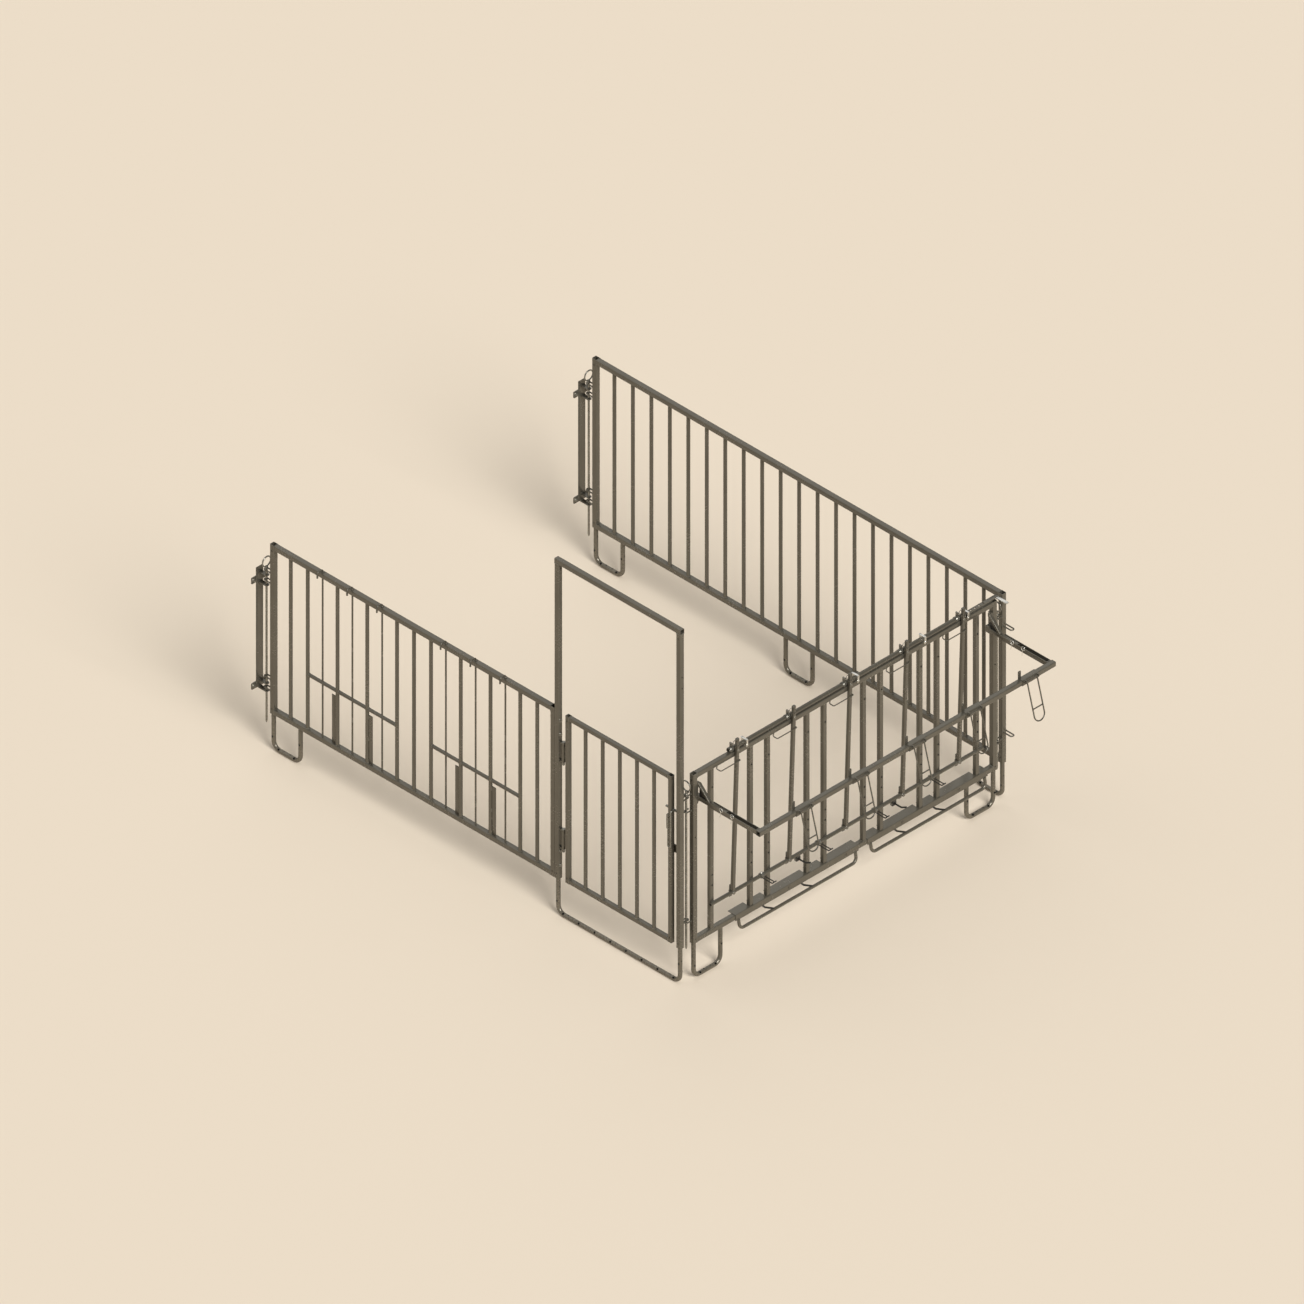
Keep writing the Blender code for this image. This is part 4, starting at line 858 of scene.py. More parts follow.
def hingePins():
    look = doorLook
    sleeve = look["sleeve"]
    r = look["pin"]
    y = look["hingeOut"]
    for name, (lowEnd, highEnd) in zip(("lower", "upper"), look["sleeves"]):
        foot = lowEnd - 0.028
        seat = highEnd + look["plate"] + 2 * gap
        tall = seat - foot
        profile = [(0, 0), (r * 0.6, 0), (r, 0.0035), (r, 0.010), (r * 0.86, 0.0108), (r * 0.86, 0.0132),
            (r, 0.014), (r, tall), (sleeve - 0.001, tall), (sleeve, tall + 0.001), (sleeve, tall + 0.0045),
            (sleeve - 0.0015, tall + 0.006), (0, tall + 0.006)]
        piece = bmesh.new()
        addTo(piece, turned(spot(0, y, foot), up, profile, 24))
        finishPiece(piece, f"{name}HingePin", "pen", [f"{name}_hinge_pin"], *zincSlot)


def gateLatch():
    piece = bmesh.new()
    r = gateLook["latchRadius"]
    a, b = gateLook["latchEnds"]
    h = doorLook["latchUp"]
    length = b - a
    addTo(piece, turned(spot(0, a, h), out, [(0, 0), (r - 0.0015, 0), (r, 0.0015), (r, length - 0.004),
        (r - 0.003, length), (0, length)], 20))
    side, wide, wire = -0.026, 0.024, 0.004
    near, far = around(gateLook["handleOut"], wide / 2)
    foot = gateLook["handleUp"]
    wireRun(piece, [(0, far - wire, h), (side, far - wire, h), (side, far - wire, foot), (side, near, foot),
        (side, near, h - 0.020)], wire, 0.0084)
    weldRing(piece, spot(-r + 0.0006, far - wire, h), -across, wire, 0.0013, 0)
    finishPiece(piece, "gateLatchSteel", "gate_latch", ["gate_latch_bolt"], *zincSlot)


def panelBolts():
    start = nearLook["length"] - panelShape["half"]
    end = doorLook["start"] + panelShape["half"]
    for number, h in enumerate(panelShape["boltsUp"], 1):
        piece = bmesh.new()
        addTo(piece, rod(0, (start - gap, end + gap), h, 0.0059, 16))
        for place, way in ((end + gap, out), (start - gap, -out)):
            hexHead(piece, spot(0, place, h), way, 0.0093, 0.0062, 1.02, 0)
        profile = [(0, 0)]
        for turnIndex in range(3):
            z = 0.0062 + turnIndex * 0.0006
            profile += [(0.0052, z), (0.0058, z + 0.0003)]
        profile += [(0.0050, 0.0080), (0, 0.0080)]
        addTo(piece, turned(spot(0, start - gap, h), -out, profile, 16))
        finishPiece(piece, f"panelBoltSteel{number}", "pen", [f"panel_bolt_{number}"], *zincSlot)


doorway()
gate()
hingePins()
gateLatch()
panelBolts()
print("doorway and gate made")


# feed front
frontLook = {"out": 2.985, "left": 0.0825, "right": 2.2725, "bar": 0.025, "places": 5, "pitch": 0.413,
    "opening": 0.288, "first": 0.207, "pivotFromBar": 0.137, "pivotUp": 0.428, "pivotRail": 0.01065,
    "pivotPin": 0.006, "guideWire": 0.003, "guideUp": 1.250, "guides": (0.444, 1.256, 1.746, 2.060),
    "guideTop": 1.345, "guideFoot": 1.2708, "cornerEyes": (0.371, 1.070, 1.175),
    "barHoles": (0.535, 0.600, 1.155), "barHole": 0.0060, "hookOut": 0.088, "hookWire": 0.0032,
    "hookHalf": 0.009, "hookGap": 0.3505, "stops": (0.820, 1.521)}
swingLook = {"size": 0.020, "lean": 2.0, "swing": 8.0, "top": 1.342, "footLift": 0.014, "earDrop": 0.032,
    "earThick": 0.004, "earRise": 0.030}
controlLook = {"radius": 0.0125, "start": 0.335, "end": 2.080, "strip": (0.0235, 0.006), "stripEnd": 2.300,
    "slots": 4, "firstSlot": 0.030, "slotPitch": 0.030, "slot": (0.010, 0.016), "handle": 0.090,
    "pawlRadius": 0.015, "pawlThick": 0.012, "pawlReach": 0.040, "pawlWidth": 0.018, "pawlGap": 0.0015}
pivotOut = frontLook["out"] + frontLook["bar"] / 2 + frontLook["pivotRail"] - 0.0008
swingOut = frontLook["out"] + panelShape["half"] + 0.0005 + swingLook["size"] / 2
controlUp = panelShape["top"] + 0.0005 + controlLook["pawlRadius"]


def barPlace(index):
    return frontLook["first"] + index * frontLook["pitch"]


def barPlaces():     # both sides of every opening
    sides = (0, frontLook["opening"])
    return [barPlace(index) + side for index in range(frontLook["places"]) for side in sides]


def swingAcross(height, lean):
    return frontLook["pivotFromBar"] + math.tan(math.radians(lean)) * (height - frontLook["pivotUp"])


def frontPanel():
    look = frontLook
    piece = bmesh.new()
    y = look["out"]
    half = panelShape["half"]
    low, high = panelShape["bottom"], panelShape["top"]
    for x, way in ((look["left"], -1), (look["right"], 1)):
        holes = [drain((x, y), out, h) for h in (0.255, 0.90)]
        holes += [drain((x, y), -across, h) for h in panelShape["drainsUp"]]
        post(piece, (x, y), low, high, holes=holes)
        pin = panelShape["cornerGap"] if way < 0 else farLook["across"] - panelShape["cornerGap"]
        for h in look["cornerEyes"]:
            eyeWire(piece, (pin, panelShape["cornerPinOut"]), (x + way * half, panelShape["cornerPinOut"]),
                h)
    for h in (low + half, high - half):
        rail(piece, spot(look["left"] + half, y, h), spot(look["right"] - half, y, h), panelShape["tube"])
    for x in barPlaces():
        inset = panelShape["tube"] - overlap
        bar = squareRod(x, y, (low + inset, high - inset), look["bar"], 0.003)
        face = y + look["bar"] / 2
        holes = [rod(x, (face - 0.010, face + 0.005), h, look["barHole"], 14) for h in look["barHoles"]]
        addTo(piece, drill(bar, holes))
        # the bars' holes get near-black painted shade inside
        paintedShadeSpans = [(spot(x, face - 0.0105, h), spot(x, face + 0.005, h), look["barHole"])
            for h in look["barHoles"]]
        shadeHoles(piece, paintedShadeSpans)
        for h in (low + panelShape["tube"], high - panelShape["tube"]):
            weldSquare(piece, spot(x, y, h), up, look["bar"] - 0.001)
        for side in (-1, 1):     # the pivot rail is tacked to each bar
            seam(piece, around(x, 0.010), y + look["bar"] / 2 + 0.0015, look["pivotUp"] + side * 0.0062,
                0.002)
    railEnds = (barPlace(0) - look["bar"], barPlace(4) + look["opening"] + look["bar"])
    addTo(piece, rod(railEnds, pivotOut, look["pivotUp"], look["pivotRail"], 24, 0.002))
    frontPivots(piece)
    pivotHooks(piece)
    railStops(piece)
    rodGuides(piece)
    finishPiece(piece, "feedFrontSteel", "pen", ["feed_front_panel"])


def frontPivots(piece):     # the neck bars' pins and the wires that guide their tops
    look = frontLook
    guideWire, guideUp = look["guideWire"], look["guideUp"]
    earBack = pivotOut - look["pivotRail"] - gap - swingLook["earThick"]
    nutBack = earBack - gap - 0.006
    frontWire = swingOut + swingLook["size"] / 2 + guideWire + 0.001
    beside = swingLook["size"] / 2 + guideWire + 0.001
    knee = look["out"] + 0.008
    foot = look["out"] + panelShape["half"] - 0.0008 - guideWire
    for index in range(look["places"]):
        x = barPlace(index) + look["pivotFromBar"]
        front = pivotOut + look["pivotRail"]
        pivotUp = look["pivotUp"]
        addTo(piece, rod(x, (nutBack, front), pivotUp, look["pivotPin"] * 0.97, 16), 2)
        hexHead(piece, spot(x, front - 0.0008, pivotUp), out, 0.0094, 0.0066, 1.0)
        hexHead(piece, spot(x, nutBack + 0.0058, pivotUp), -out, 0.0094, 0.0058, 0)
        start = barPlace(index) + swingAcross(guideUp, swingLook["lean"] - swingLook["swing"]) - beside
        end = barPlace(index) + swingAcross(guideUp, swingLook["lean"]) + beside
        h = guideUp
        path = [(foot, look["guideFoot"]), (knee, h), (frontWire, h)]
        wireRun(piece, outAndBack(start, end, path), guideWire, 0.006)
        for x in (start, end):
            weldRing(piece, spot(x, foot, look["guideFoot"] - 0.0013), up, guideWire, 0.0014)


def pivotHooks(piece):     # collar and wire hook between two places
    look = frontLook
    for index in range(look["places"] - 1):
        x = barPlace(index) + look["hookGap"]
        h = look["pivotUp"]
        addTo(piece, turned(spot(x - 0.010, pivotOut, h), across,
            [(0.0112, 0), (0.0148, 0), (0.0155, 0.0008), (0.0155, 0.0192), (0.0148, 0.020),
            (0.0112, 0.020)], 28), 2)
        hexHead(piece, spot(x, pivotOut, h + 0.0150), up, 0.0052, 0.0050, 1.2, 4)
        foot = pivotOut + 0.0125
        tip = foot + look["hookOut"]
        half = look["hookHalf"]
        path = [(foot, h - 0.004), (tip - 0.012, h - 0.004), (tip, h + 0.010)]
        wireRun(piece, outAndBack(x - half, x + half, path), look["hookWire"], 0.0065, 12, 6, 5)
        for side in (-half, half):
            weldRing(piece, spot(x + side, foot + 0.0022, h - 0.004), out, look["hookWire"], 0.0014)


def railStops(piece):     # dark stop block and peg hung below the rail
    look = frontLook
    for x in look["stops"]:
        h = look["pivotUp"] - look["pivotRail"]
        addTo(piece, plate(around(x, 0.015), around(pivotOut, 0.009), (h - 0.0262, h + 0.0012), 0.0022), 5)
        peg = [(x, pivotOut + 0.006, h - 0.013), (x, pivotOut + 0.060, h - 0.013),
            (x + 0.014, pivotOut + 0.084, h - 0.006)]
        wireRun(piece, peg, 0.0046, 0.010, 14, 6, 5)
        hexHead(piece, spot(x - 0.0146, pivotOut, h - 0.013), -across, 0.0062, 0.0050, 1.25, 2)
        seam(piece, around(x, 0.012), pivotOut + 0.0088, h + 0.0004, fineBead)


def rodGuides(piece):     # strapped lugs the control rod slides in
    look = frontLook
    y = look["out"]
    for x in look["guides"]:
        lug = plate(around(x, 0.0025), (y - 0.012, y + 0.030), (1.2992, look["guideTop"]), 0.0008)
        addTo(piece, drill(lug, [rod(around(x, 0.02), y, controlUp, controlLook["radius"] + 0.0002, 28)]),
            4)
        top = look["guideTop"]
        strap = plate(around(x, 0.0065), (y - 0.014, y + 0.0325), (top - 0.0006, top + 0.0018), 0.0007)
        addTo(piece, strap, 4)
        addTo(piece, plate(around(x, 0.0065), (y + 0.0300, y + 0.0325), (1.306, top + 0.0012), 0.0007), 4)
        hexHead(piece, spot(x, y + 0.0320, 1.313), out, 0.0052, 0.0030, 1.2, 4)
        for side in (-1, 1):
            seam(piece, x + side * 0.003, (y - 0.010, y + 0.012), 1.3004, 0.0019)


def neckBars():
    look = swingLook
    top = look["top"]
    size = look["size"]
    front = pivotOut - frontLook["pivotRail"] - gap
    for index in range(frontLook["places"]):
        x = barPlace(index) + frontLook["pivotFromBar"]
        pivot = spot(x, pivotOut, frontLook["pivotUp"])
        foot = frontLook["pivotUp"] + look["footLift"]
        piece = bmesh.new()
        addTo(piece, squareRod(x, swingOut, (foot, top - 0.002), size - 0.0003, 0.0028))
        addTo(piece, squareRod(x, swingOut, (top - 0.0035, top), size, 0.0028), 3)
        head = plate(around(x, 0.0088), around(swingOut, 0.0070), (top - 0.003, 1.386), 0.0006)
        roundOff(head, 1, 0.008, 0.0065, 6, above=1.3845)
        addTo(piece, head, 3)
        places = ((0.007, 1.380), (0.029, 1.380), (0.029, 1.358), (0.007, 1.358))
        loop = [(x - a, swingOut, h) for a, h in places]
        wireRun(piece, loop, 0.0018, 0.009, paint=2)
        hexHead(piece, spot(x + 0.001, swingOut + size / 2 - 0.0004, 1.316), out, 0.0058, 0.0040, 1.25, 2)
        ear = plate(around(x, size / 2), (front - look["earThick"], front),
            (frontLook["pivotUp"] - look["earDrop"], foot + look["earRise"]), 0.0007)
        addTo(piece, drill(ear, [rod(x, around(front, 0.02), frontLook["pivotUp"], 0.0064, 20)]))
        for side in (-1, 1):
            seam(piece, x + side * 0.0085, front, (foot + 0.002, foot + look["earRise"]), 0.0016)
        seam(piece, around(x, 0.008), front - 0.002, foot + 0.0002, 0.0016)
        turnAbout(piece, pivot, look["lean"], "Y")
        finishPiece(piece, f"neckBarSteel{index + 1}", f"neck_bar_{index + 1}")


def controlRod():
    look = controlLook
    stripEnd, end = look["stripEnd"], look["end"]
    piece = bmesh.new()
    y = frontLook["out"]
    r = look["radius"]
    addTo(piece, rod((look["start"], end), y, controlUp, r, 28, 0.002))
    wide, thick = look["strip"]
    strip = plate((end - 0.020, stripEnd), around(y, wide / 2), around(controlUp, thick / 2), 0.0008)
    cutters = []
    for index in range(look["slots"]):
        x = end + look["firstSlot"] + index * look["slotPitch"]
        slot = plate(around(x, look["slot"][0] / 2), around(y, look["slot"][1] / 2),
            around(controlUp, 0.01), 0)
        roundOff(slot, 2, 0.01, 0.0035, 4)
        cutters.append(slot)
    addTo(piece, drill(strip, cutters))
    handle = plate((stripEnd - 0.020, stripEnd), (y + wide / 2 - 0.0008, y + look["handle"]),
        around(controlUp, thick / 2), 0.0008)
    roundOff(handle, 2, 0.003, 0.006, 5, y + look["handle"] - 0.002)
    addTo(piece, handle, 4)
    for side in (-1, 1):
        seam(piece, end + 0.0005, (y + side * 0.008, y), controlUp + thick / 2 + 0.0005, 0.002)
    seam(piece, (stripEnd - 0.019, stripEnd - 0.001), y + wide / 2, controlUp + thick / 2 - 0.0003, 0.0014)
    finishPiece(piece, "controlRodSteel", "control_rod")


def lockingPawls():
    look = controlLook
    y = frontLook["out"]
    r = look["radius"]
    for index in range(frontLook["places"]):
        leaned = swingAcross(controlUp, swingLook["lean"])
        right = barPlace(index) + leaned - swingLook["size"] / 2 - look["pawlGap"]
        left = right - look["pawlThick"]
        pawl = bmesh.new()
        addTo(pawl, rod((left, right), y, controlUp, look["pawlRadius"], 32,
            look["pawlRadius"] - r - 0.0004))
        middle = (left + right) / 2
        finger = plate(around(middle, 0.004), around(y, look["pawlWidth"] / 2),
            (controlUp + 0.0138, controlUp + look["pawlReach"]), 0.0006)
        roundOff(finger, 0, 0.004, 0.005, 4, above=controlUp + look["pawlReach"] - 0.002)
        addTo(pawl, coil(spot(left - 0.0125, y, controlUp), across, 0.0142, 0.0012, 4, 0.0030), 0)
        addTo(pawl, drill(finger, [rod(around(middle, 0.01), y, controlUp + 0.030, 0.0032, 16)]))
        for side in (-1, 1):
            seam(pawl, middle + side * 0.0042, around(y, 0.0075), controlUp + 0.0142, 0.0013)
        finishPiece(pawl, f"pawlSteel{index + 1}", f"locking_pawl_{index + 1}", None, "zinc_steel",
            [zincSteel, weldSteel])


frontPanel()
neckBars()
controlRod()
lockingPawls()
print("feed front made")


# bucket rail group
rackLook = {"arms": (0.114, 2.241), "armTube": 0.022, "armEnd": 3.200, "armUp": 1.135,
    "channel": (0.029, 0.029, 0.003), "channelStart": 3.090, "railOut": 3.440, "railTube": 0.030,
    "railEnds": (0.099, 2.262), "inside": 0.0153, "outside": 0.0183, "first": 0.423, "pitch": 0.413,
    "half": 0.0585, "axisOut": 3.4673, "axisUp": 1.1443, "wire": 0.004, "legs": 0.0365, "legFoot": 0.9028,
    "cross": 0.9803, "crossWire": 0.0036, "rest": 15.0, "keepers": (3.170, 3.250),
    "bracketUp": (1.105, 1.235), "gussetUp": 1.211}


def armBrackets():
    look = rackLook
    armHalf = look["armTube"] / 2
    back, front = around(frontLook["out"], panelShape["half"])
    h = look["armUp"]
    for name, x, postAt, way in (("left", look["arms"][0], frontLook["left"], 1),
            ("right", look["arms"][1], frontLook["right"], -1)):
        piece = bmesh.new()
        face = postAt + way * (panelShape["half"] + gap)
        inner = x + way * armHalf
        addTo(piece, squareRod(x, (back, look["armEnd"]), h, look["armTube"], 0.0025, 0.002))
        low, high = sorted((face, face + way * 0.005))
        side = plate((low, high), (back, front), look["bracketUp"], 0)
        roundOff(side, 0, 0.003, 0.003, 4)
        addTo(piece, side)
        low, high = sorted((face + way * 0.001, inner - way * 0.0005))
        addTo(piece, plate((low, high), (back + 0.001, front - 0.0005), around(h, 0.020), 0.0012))
        addTo(piece, squareRod(x, (2.993, 3.0715), (1.225, 1.1465), 0.0200, 0.0022, 0, 0.0155))
        gusset = bmesh.new()
        corners = ((2.9985, 1.1445), (3.073, 1.1445), (2.9985, 1.220))
        gusset.faces.new([gusset.verts.new(spot(x - 0.002, o, level)) for o, level in corners])
        gusset.faces.ensure_lookup_table()
        pushFace(gusset, gusset.faces[0], across * 0.004)
        soften(gusset, gusset.edges[:], 0.0006, 2)
        addTo(piece, gusset, 5)
        low, high = sorted((face + way * 0.001, x + way * 0.004))
        addTo(piece, plate((low, high), (2.981, 2.999), (look["gussetUp"], look["bracketUp"][1] - 0.0005),
            0.0015))
        for side in (-1, 1):
            seam(piece, x + side * 0.0085, (3.058, 3.079), h + armHalf, fineBead)
        for edge in (h - 0.020, h + 0.020):
            seam(piece, face + way * 0.0055, (back + 0.003, front - 0.003), edge, 0.002)
        seam(piece, around(x, 0.009), front, h + armHalf, fineBead)
        seam(piece, face + way * 0.0055, (2.983, 2.997), look["gussetUp"], fineBead)
        for bolt in (1.122, 1.226):
            hexHead(piece, spot(face + way * 0.0045, 2.990, bolt), across * way, 0.0042, 0.0034, 1.25, 2)
        finishPiece(piece, f"{name}ArmBracketSteel", "pen", [f"{name}_arm_bracket"])


def bucketRail():
    look = rackLook
    h = look["armUp"]
    y = look["railOut"]
    a, b = look["railEnds"]
    piece = bmesh.new()
    addTo(piece, squareRod((a, b), y, h, look["railTube"], 0.0035, 0.002))
    finishPiece(piece, "bucketRailSteel", "bucket_rail")
    wide, tall, wall = look["channel"]
    end = y - look["railTube"] / 2 - gap
    inside = wide / 2 - wall
    for name, x in zip(("left", "right"), look["arms"]):
        arm = plate(around(x, wide / 2), (look["channelStart"], end), around(h, tall / 2), 0)
        long = [e for e in arm.edges if abs(e.verts[0].co.y - e.verts[1].co.y) > 0.1
            and e.verts[0].co.z < h]
        soften(arm, long, 0.0025, 4)
        groove = plate(around(x, inside), (look["channelStart"] - 0.01, end - 0.005),
            (h - inside, h + 0.03), 0)
        piece = bmesh.new()
        addTo(piece, drill(arm, [groove]))
        for side in (-1, 1):
            seam(piece, x + side * inside, end - 0.0052, (h - inside + 0.001, h + 0.012), 0.0013)
        for y0 in look["keepers"]:     # keeper bars over the groove, clear of the brace at full travel
            addTo(piece, rod((x - inside - 0.0020, x + inside + 0.0020), y0, h + inside + 0.0013, 0.0012,
                12), 2)
        for y0 in look["keepers"]:     # spring clips
            side = x - wide / 2 - 0.0012
            ring = [spot(side, y0 + 0.012 * math.cos(t), h + 0.013 + 0.012 * math.sin(t))
                for t in (math.radians(-70 + 20 * k) for k in range(17))]
            tail = [spot(side, y0 - 0.004, h - 0.012), spot(side, y0 - 0.007, h - 0.034)]
            addTo(piece, bentBar(ring + tail, 0.0014, 0.002, 10, 3), 4)
            for way in (-1, 1):
                head = spot(x + way * (wide / 2 - 0.0004), y0, h + 0.003)
                hexHead(piece, head, across * way, 0.0046, 0.0044, 1.2, 4)
        finishPiece(piece, f"{name}SlidingArmSteel", "bucket_rail", [f"{name}_sliding_arm"])


def bucketSleeve(number, x):
    look = rackLook
    h = look["armUp"]
    y = look["railOut"]
    outside, inside, half = look["outside"], look["inside"], look["half"]
    piece = bmesh.new()
    addTo(piece, squareRod(around(x, half), y, h, 2 * outside, 0.0042, outside - inside))
    for side in (-1, 1):
        middle = x + side * 0.0445
        ear = plate(around(middle, 0.003), (y + outside - 0.0012, y + outside + 0.018),
            (h + outside - 0.018, h + outside), 0)
        roundOff(ear, 0, 0.004, 0.0075, 7, y + outside + 0.015)
        addTo(piece, drill(ear, [rod(around(middle, 0.01), look["axisOut"], look["axisUp"],
            look["wire"] + 0.0006, 18)]))
        for face in (-0.0032, 0.0032):
            seam(piece, middle + face, y + outside + 0.0001, (h + 0.002, h + 0.016), 0.0016)
    tab = plate((x - half, x - half + 0.020), (y - outside, y - inside), (h + inside, h + outside + 0.040),
        0)
    roundOff(tab, 1, 0.002, 0.005, 5, above=h + 0.05)
    addTo(piece, drill(tab, [rod(x - half + 0.010, (y - 0.03, y - 0.01), h + 0.047, 0.0028, 16)]))
    finishPiece(piece, f"bucketSleeveSteel{number}", "bucket_rail", [f"bucket_sleeve_{number}"])


def bucketLoop(number, x):
    look = rackLook
    axisOut, axisUp = look["axisOut"], look["axisUp"]
    wire, leg = look["wire"] * 0.97, look["legs"]
    pivot = spot(x, axisOut, axisUp)
    piece = bmesh.new()
    half = 0.054
    profile = [(0, 0), (wire - 0.0012, 0), (wire, 0.0012), (wire, 2 * half - 0.0012),
        (wire - 0.0012, 2 * half), (0, 2 * half)]
    addTo(piece, turned(spot(x - half, axisOut, axisUp), across, profile, 16))
    foot = look["legFoot"]
    wireRun(piece, outAndBack(x - leg, x + leg, [(axisOut, axisUp), (axisOut, foot)]), wire, leg * 0.98, 16,
        14)
    addTo(piece, rod(around(x, leg), axisOut, look["cross"], look["crossWire"], 16))
    for side in (-1, 1):
        weldRing(piece, spot(x + side * (leg - wire + 0.0004), axisOut, look["cross"]), across * -side,
            look["crossWire"], 0.0014)
        weldRing(piece, spot(x + side * leg, axisOut, axisUp - wire + 0.0004), -up, wire, 0.0014)
    turnAbout(piece, pivot, -look["rest"], "X")
    finishPiece(piece, f"bucketLoopWire{number}", f"bucket_loop_{number}", None, *wireSlot)


armBrackets()
bucketRail()
for number in range(1, 6):
    place = rackLook["first"] + (number - 1) * rackLook["pitch"]
    bucketSleeve(number, place)
    bucketLoop(number, place)
print("bucket rail group made")


# lower loops: folded sheets with bent wire below
loopLook = {"sheets": ((0.373, 1.271), (1.338, 2.215)), "back": 2.9453, "front": 3.0033, "lift": 0.2603,
    "thick": 0.003, "lipFoot": 0.2253, "wire": 0.009, "bend": 0.030, "legOut": 3.0013, "legUp": 0.2265,
    "runOut": 3.0110, "runUp": 0.170, "brace": 0.004, "braces": ((0.197, 0.274), (0.480, 0.557)),
    "notch": 0.013}


def lowerLoops():
    look = loopLook
    back, lift, lipFoot = look["back"], look["lift"], look["lipFoot"]
    front, legOut, legUp = look["front"], look["legOut"], look["legUp"]
    for number, (left, right) in enumerate(look["sheets"], 1):
        piece = bmesh.new()
        thick = look["thick"]
        profile = [(back, lift), (front - thick, lift), (front - thick, lipFoot), (front, lipFoot),
            (front, lift + thick), (back, lift + thick)]
        sheet = bmesh.new()
        face = sheet.faces.new([sheet.verts.new(spot(left, o, h)) for o, h in profile])
        pushFace(sheet, face, spot(right, 0, 0) - spot(left, 0, 0))
        roundOff(sheet, 0, 0.2, 0.0028, 4, front - 0.001, lift + 0.002)
        cutters = []
        for bar in barPlaces():
            if left < bar < right:
                cut = plate(around(bar, look["notch"]), (back - 0.02, 2.998), (lift - 0.01, lift + 0.02), 0)
                roundOff(cut, 2, 0.01, 0.002, 3, 2.99)
                cutters.append(cut)
        for index in range(frontLook["places"]):
            middle = barPlace(index) + frontLook["opening"] / 2
            if left + 0.03 < middle < right - 0.03:
                for side in (-0.0052, 0.0052):
                    slot = plate(around(middle + side, 0.0020), (front - 0.0045, front + 0.002),
                        (0.2365, 0.2535), 0)
                    cutters.append(slot)
        addTo(piece, drill(sheet, cutters))
        legs = (left + 0.022, right - 0.022)
        path = [(legOut, legUp), (look["runOut"], look["runUp"])]
        wireRun(piece, outAndBack(*legs, path), look["wire"] * 0.995, look["bend"], 22, 12)
        for leg in legs:
            for side in (-1, 1):
                seam(piece, (leg + side * 0.0075, leg + side * 0.0015), front - 0.0006,
                    (lipFoot + 0.0012, lipFoot - 0.0002), 0.002)
        for start, end in look["braces"]:
            knee = spot(left + start + 0.018, legOut + 0.001, legUp - 0.020)
            tip = spot(left + end, look["runOut"], look["runUp"] + look["brace"])
            addTo(piece, bentBar([spot(left + start, legOut, legUp), knee, tip], 0.0052, 0.010, 14, 6), 5)
            seam(piece, around(left + start, 0.006), front - 0.001, lipFoot + 0.0006, fineBead)
            weldSeam(piece, tip + across * -0.010, tip + across * 0.006, 0.002)
        finishPiece(piece, f"lowerLoopSteel{number}", "pen", [f"lower_loop_{number}"])


# wall side
wallLook = {"face": -0.107, "thick": 0.005, "half": 0.025, "up": (0.350, 1.110), "tabHalf": 0.013,
    "tabEnd": -0.040, "tabs": (0.348, 0.395, 1.016, 1.080), "pinOut": -0.053, "anchors": (0.372, 1.040),
    "plate": (0.060, 0.020), "head": (0.008, 0.007), "spread": 0.046}


def wallBrackets():
    look = wallLook
    face = look["face"]
    front = face + look["thick"]
    for name, x in (("near", 0.0), ("far", farLook["across"])):
        piece = bmesh.new()
        addTo(piece, plate(around(x, look["half"]), (face, front), look["up"], 0.0012))
        for h in look["anchors"]:
            wide, tall = look["plate"]
            base = plate(around(x, wide), (face, front - 0.00005), around(h, tall), 0)
            roundOff(base, 1, 0.003, 0.006, 5)
            addTo(piece, base)
            for side in (-1, 1):
                at = spot(x + side * look["spread"], front, h)
                hexHead(piece, at, out, look["head"][0], look["head"][1] - 0.0006, 1.3, 2)
                addTo(piece, turned(at, out, [(0, 0), (0.0042, 0), (0.0042, 0.0066), (0.0034, 0.007),
                    (0, 0.007)], 18), 2)
                for edge in (h - tall, h + tall):
                    if look["up"][0] + 0.004 < edge < look["up"][1] - 0.004:
                        seam(piece, x + side * (look["half"] - 0.0004), front,
                            (edge + (0.004 if edge < h else -0.004), h), fineBead)
        for h in look["tabs"]:
            tab = plate(around(x, look["tabHalf"]), (front - 0.0008, look["tabEnd"]), around(h, 0.0025), 0)
            roundOff(tab, 2, 0.003, 0.008, 7, look["tabEnd"] - 0.005)
            addTo(piece, drill(tab, [rod(x, look["pinOut"], around(h, 0.01), 0.0064, 22)]))
            for side in (-1, 1):
                if h + side * 0.0027 > look["up"][0]:
                    seam(piece, around(x, 0.011), front, h + side * 0.0027, fineBead)
        finishPiece(piece, f"{name}WallBracketSteel", "pen", [f"{name}_wall_bracket"])


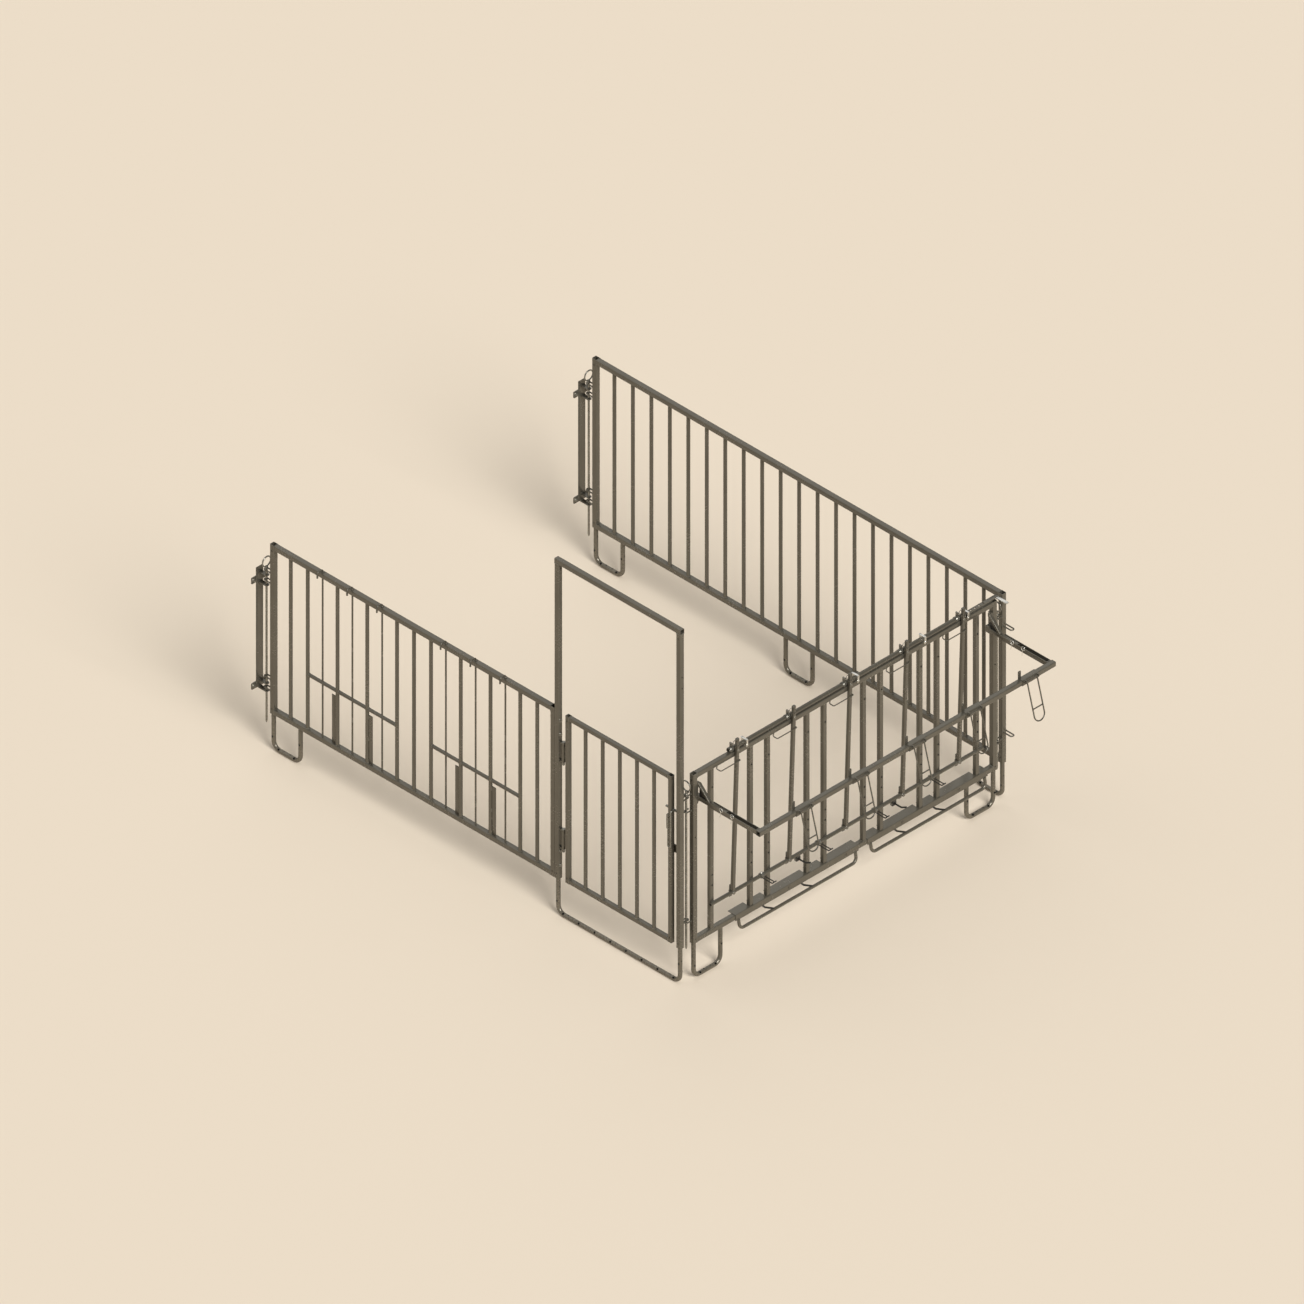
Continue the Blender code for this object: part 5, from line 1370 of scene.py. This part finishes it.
def longPin(name, x, y, low, high, seat, ringAcross):
    r = 0.006
    piece = bmesh.new()
    profile = [(0, 0), (0.0012, 0), (0.0032, 0.003), (r, 0.014), (r, high - low - 0.001),
        (r - 0.001, high - low), (0, high - low)]
    addTo(piece, turned(spot(x, y, low), up, profile, 20))
    wide = 0.0096
    addTo(piece, turned(spot(x, y, seat), up, collar(r * 0.9, wide, 0.006), 24))
    weldRing(piece, spot(x, y, seat + 0.006), up, r, 0.0014)
    ringRadius, wire = 0.030, 0.0039
    middle = spot(x, y, high + ringRadius - 0.002)
    way = across if ringAcross else out
    steps, sides = 56, 14
    ring = bmesh.new()
    rows = []
    for step in range(steps):
        angle = math.tau * (step + 0.5) / steps
        radial = way * math.cos(angle) + up * math.sin(angle)
        rows.append(wireRow(ring, middle + radial * (ringRadius - 0.0002), radial, way.cross(up), wire,
            sides))
    tubeFaces(ring, rows, zip(rows, rows[1:] + rows[:1]))
    addTo(piece, ring)
    weldRing(piece, spot(x, y, high - 0.0025), up, r * 0.98, 0.002)
    words = name.split("_")
    finishPiece(piece, words[0] + "".join(word.title() for word in words[1:]), name, None, *zincSlot)


lowerLoops()
wallBrackets()
for name, x in (("near_wall_pin", 0.0), ("far_wall_pin", farLook["across"])):
    longPin(name, x, wallLook["pinOut"], 0.145, 1.135, 1.1193, True)
for name, x in (("door_corner_pin", panelShape["cornerGap"]),
        ("far_corner_pin", farLook["across"] - panelShape["cornerGap"])):
    longPin(name, x, panelShape["cornerPinOut"], 0.200, 1.205, 1.1793, False)
print("loops, wall side and pins made")


# floor, light and camera
stageLook = {"floorSize": 30.0, "floor": (0.785, 0.685, 0.560), "world": (1.0, 0.985, 0.955),
    "worldPower": 0.14, "panelPower": 0.85, "panelUp": (0.22, 0.5), "panelBehind": (0.0, 0.5), "sun": 3.5,
    "sunAngle": 32.0, "sunFrom": (-0.22, -0.85, 0.68), "scale": 6.740, "target": (0.8200, 0.946433, 0.0)}


def floor():
    bm = bmesh.new()
    half = stageLook["floorSize"]
    bmesh.ops.create_grid(bm, x_segments=1, y_segments=1, size=half)
    mesh = bpy.data.meshes.new("floor")
    bm.to_mesh(mesh)
    bm.free()
    piece = newObject("floor", mesh)
    finish = bpy.data.materials.new("floorPaint")
    finish.use_nodes = True
    fill(finish.node_tree, finish.node_tree.nodes["Principled BSDF"].inputs,
         {"Base Color": (*stageLook["floor"], 1), "Roughness": 0.92})
    mesh.materials.append(finish)
    piece.location.z = -0.0006


def softSun():
    data = bpy.data.lights.new("softSun", "SUN")
    data.energy = stageLook["sun"]
    data.angle = math.radians(stageLook["sunAngle"])
    data.color = (1, 0.985, 0.955)
    lamp = newObject("softSun", data)
    lamp.rotation_euler = Vector(stageLook["sunFrom"]).to_track_quat("Z", "Y").to_euler()


def camera():
    slope = math.radians(35.264)
    back = Vector((-math.cos(slope) / math.sqrt(2), -math.cos(slope) / math.sqrt(2), math.sin(slope)))
    data = bpy.data.cameras.new("camera")
    data.type = "ORTHO"
    data.ortho_scale = stageLook["scale"]
    data.clip_end = 100
    eye = newObject("camera", data)
    eye.location = Vector(stageLook["target"]) + back * 12
    eye.rotation_euler = (-back).to_track_quat("-Z", "Y").to_euler()
    bpy.context.scene.camera = eye


def worldLight():
    world = bpy.data.worlds.new("studio")
    world.use_nodes = True
    tree = world.node_tree
    direction = node(tree, "SeparateXYZ", {0: texturePlace(tree, "Generated")})
    # one broad soft panel high up behind
    high = span(tree, direction["Z"], 0, 1, *stageLook["panelUp"])
    behind = span(tree, direction["Y"], 0, 1, *stageLook["panelBehind"])
    glow = times(tree, times(tree, high, behind), stageLook["panelPower"])
    power = plus(tree, glow, stageLook["worldPower"])
    fill(tree, tree.nodes["Background"].inputs, {"Color": (*stageLook["world"], 1), "Strength": power})
    bpy.context.scene.world = world


floor()
worldLight()
softSun()
camera()
bpy.context.scene.view_settings.view_transform = "Standard"
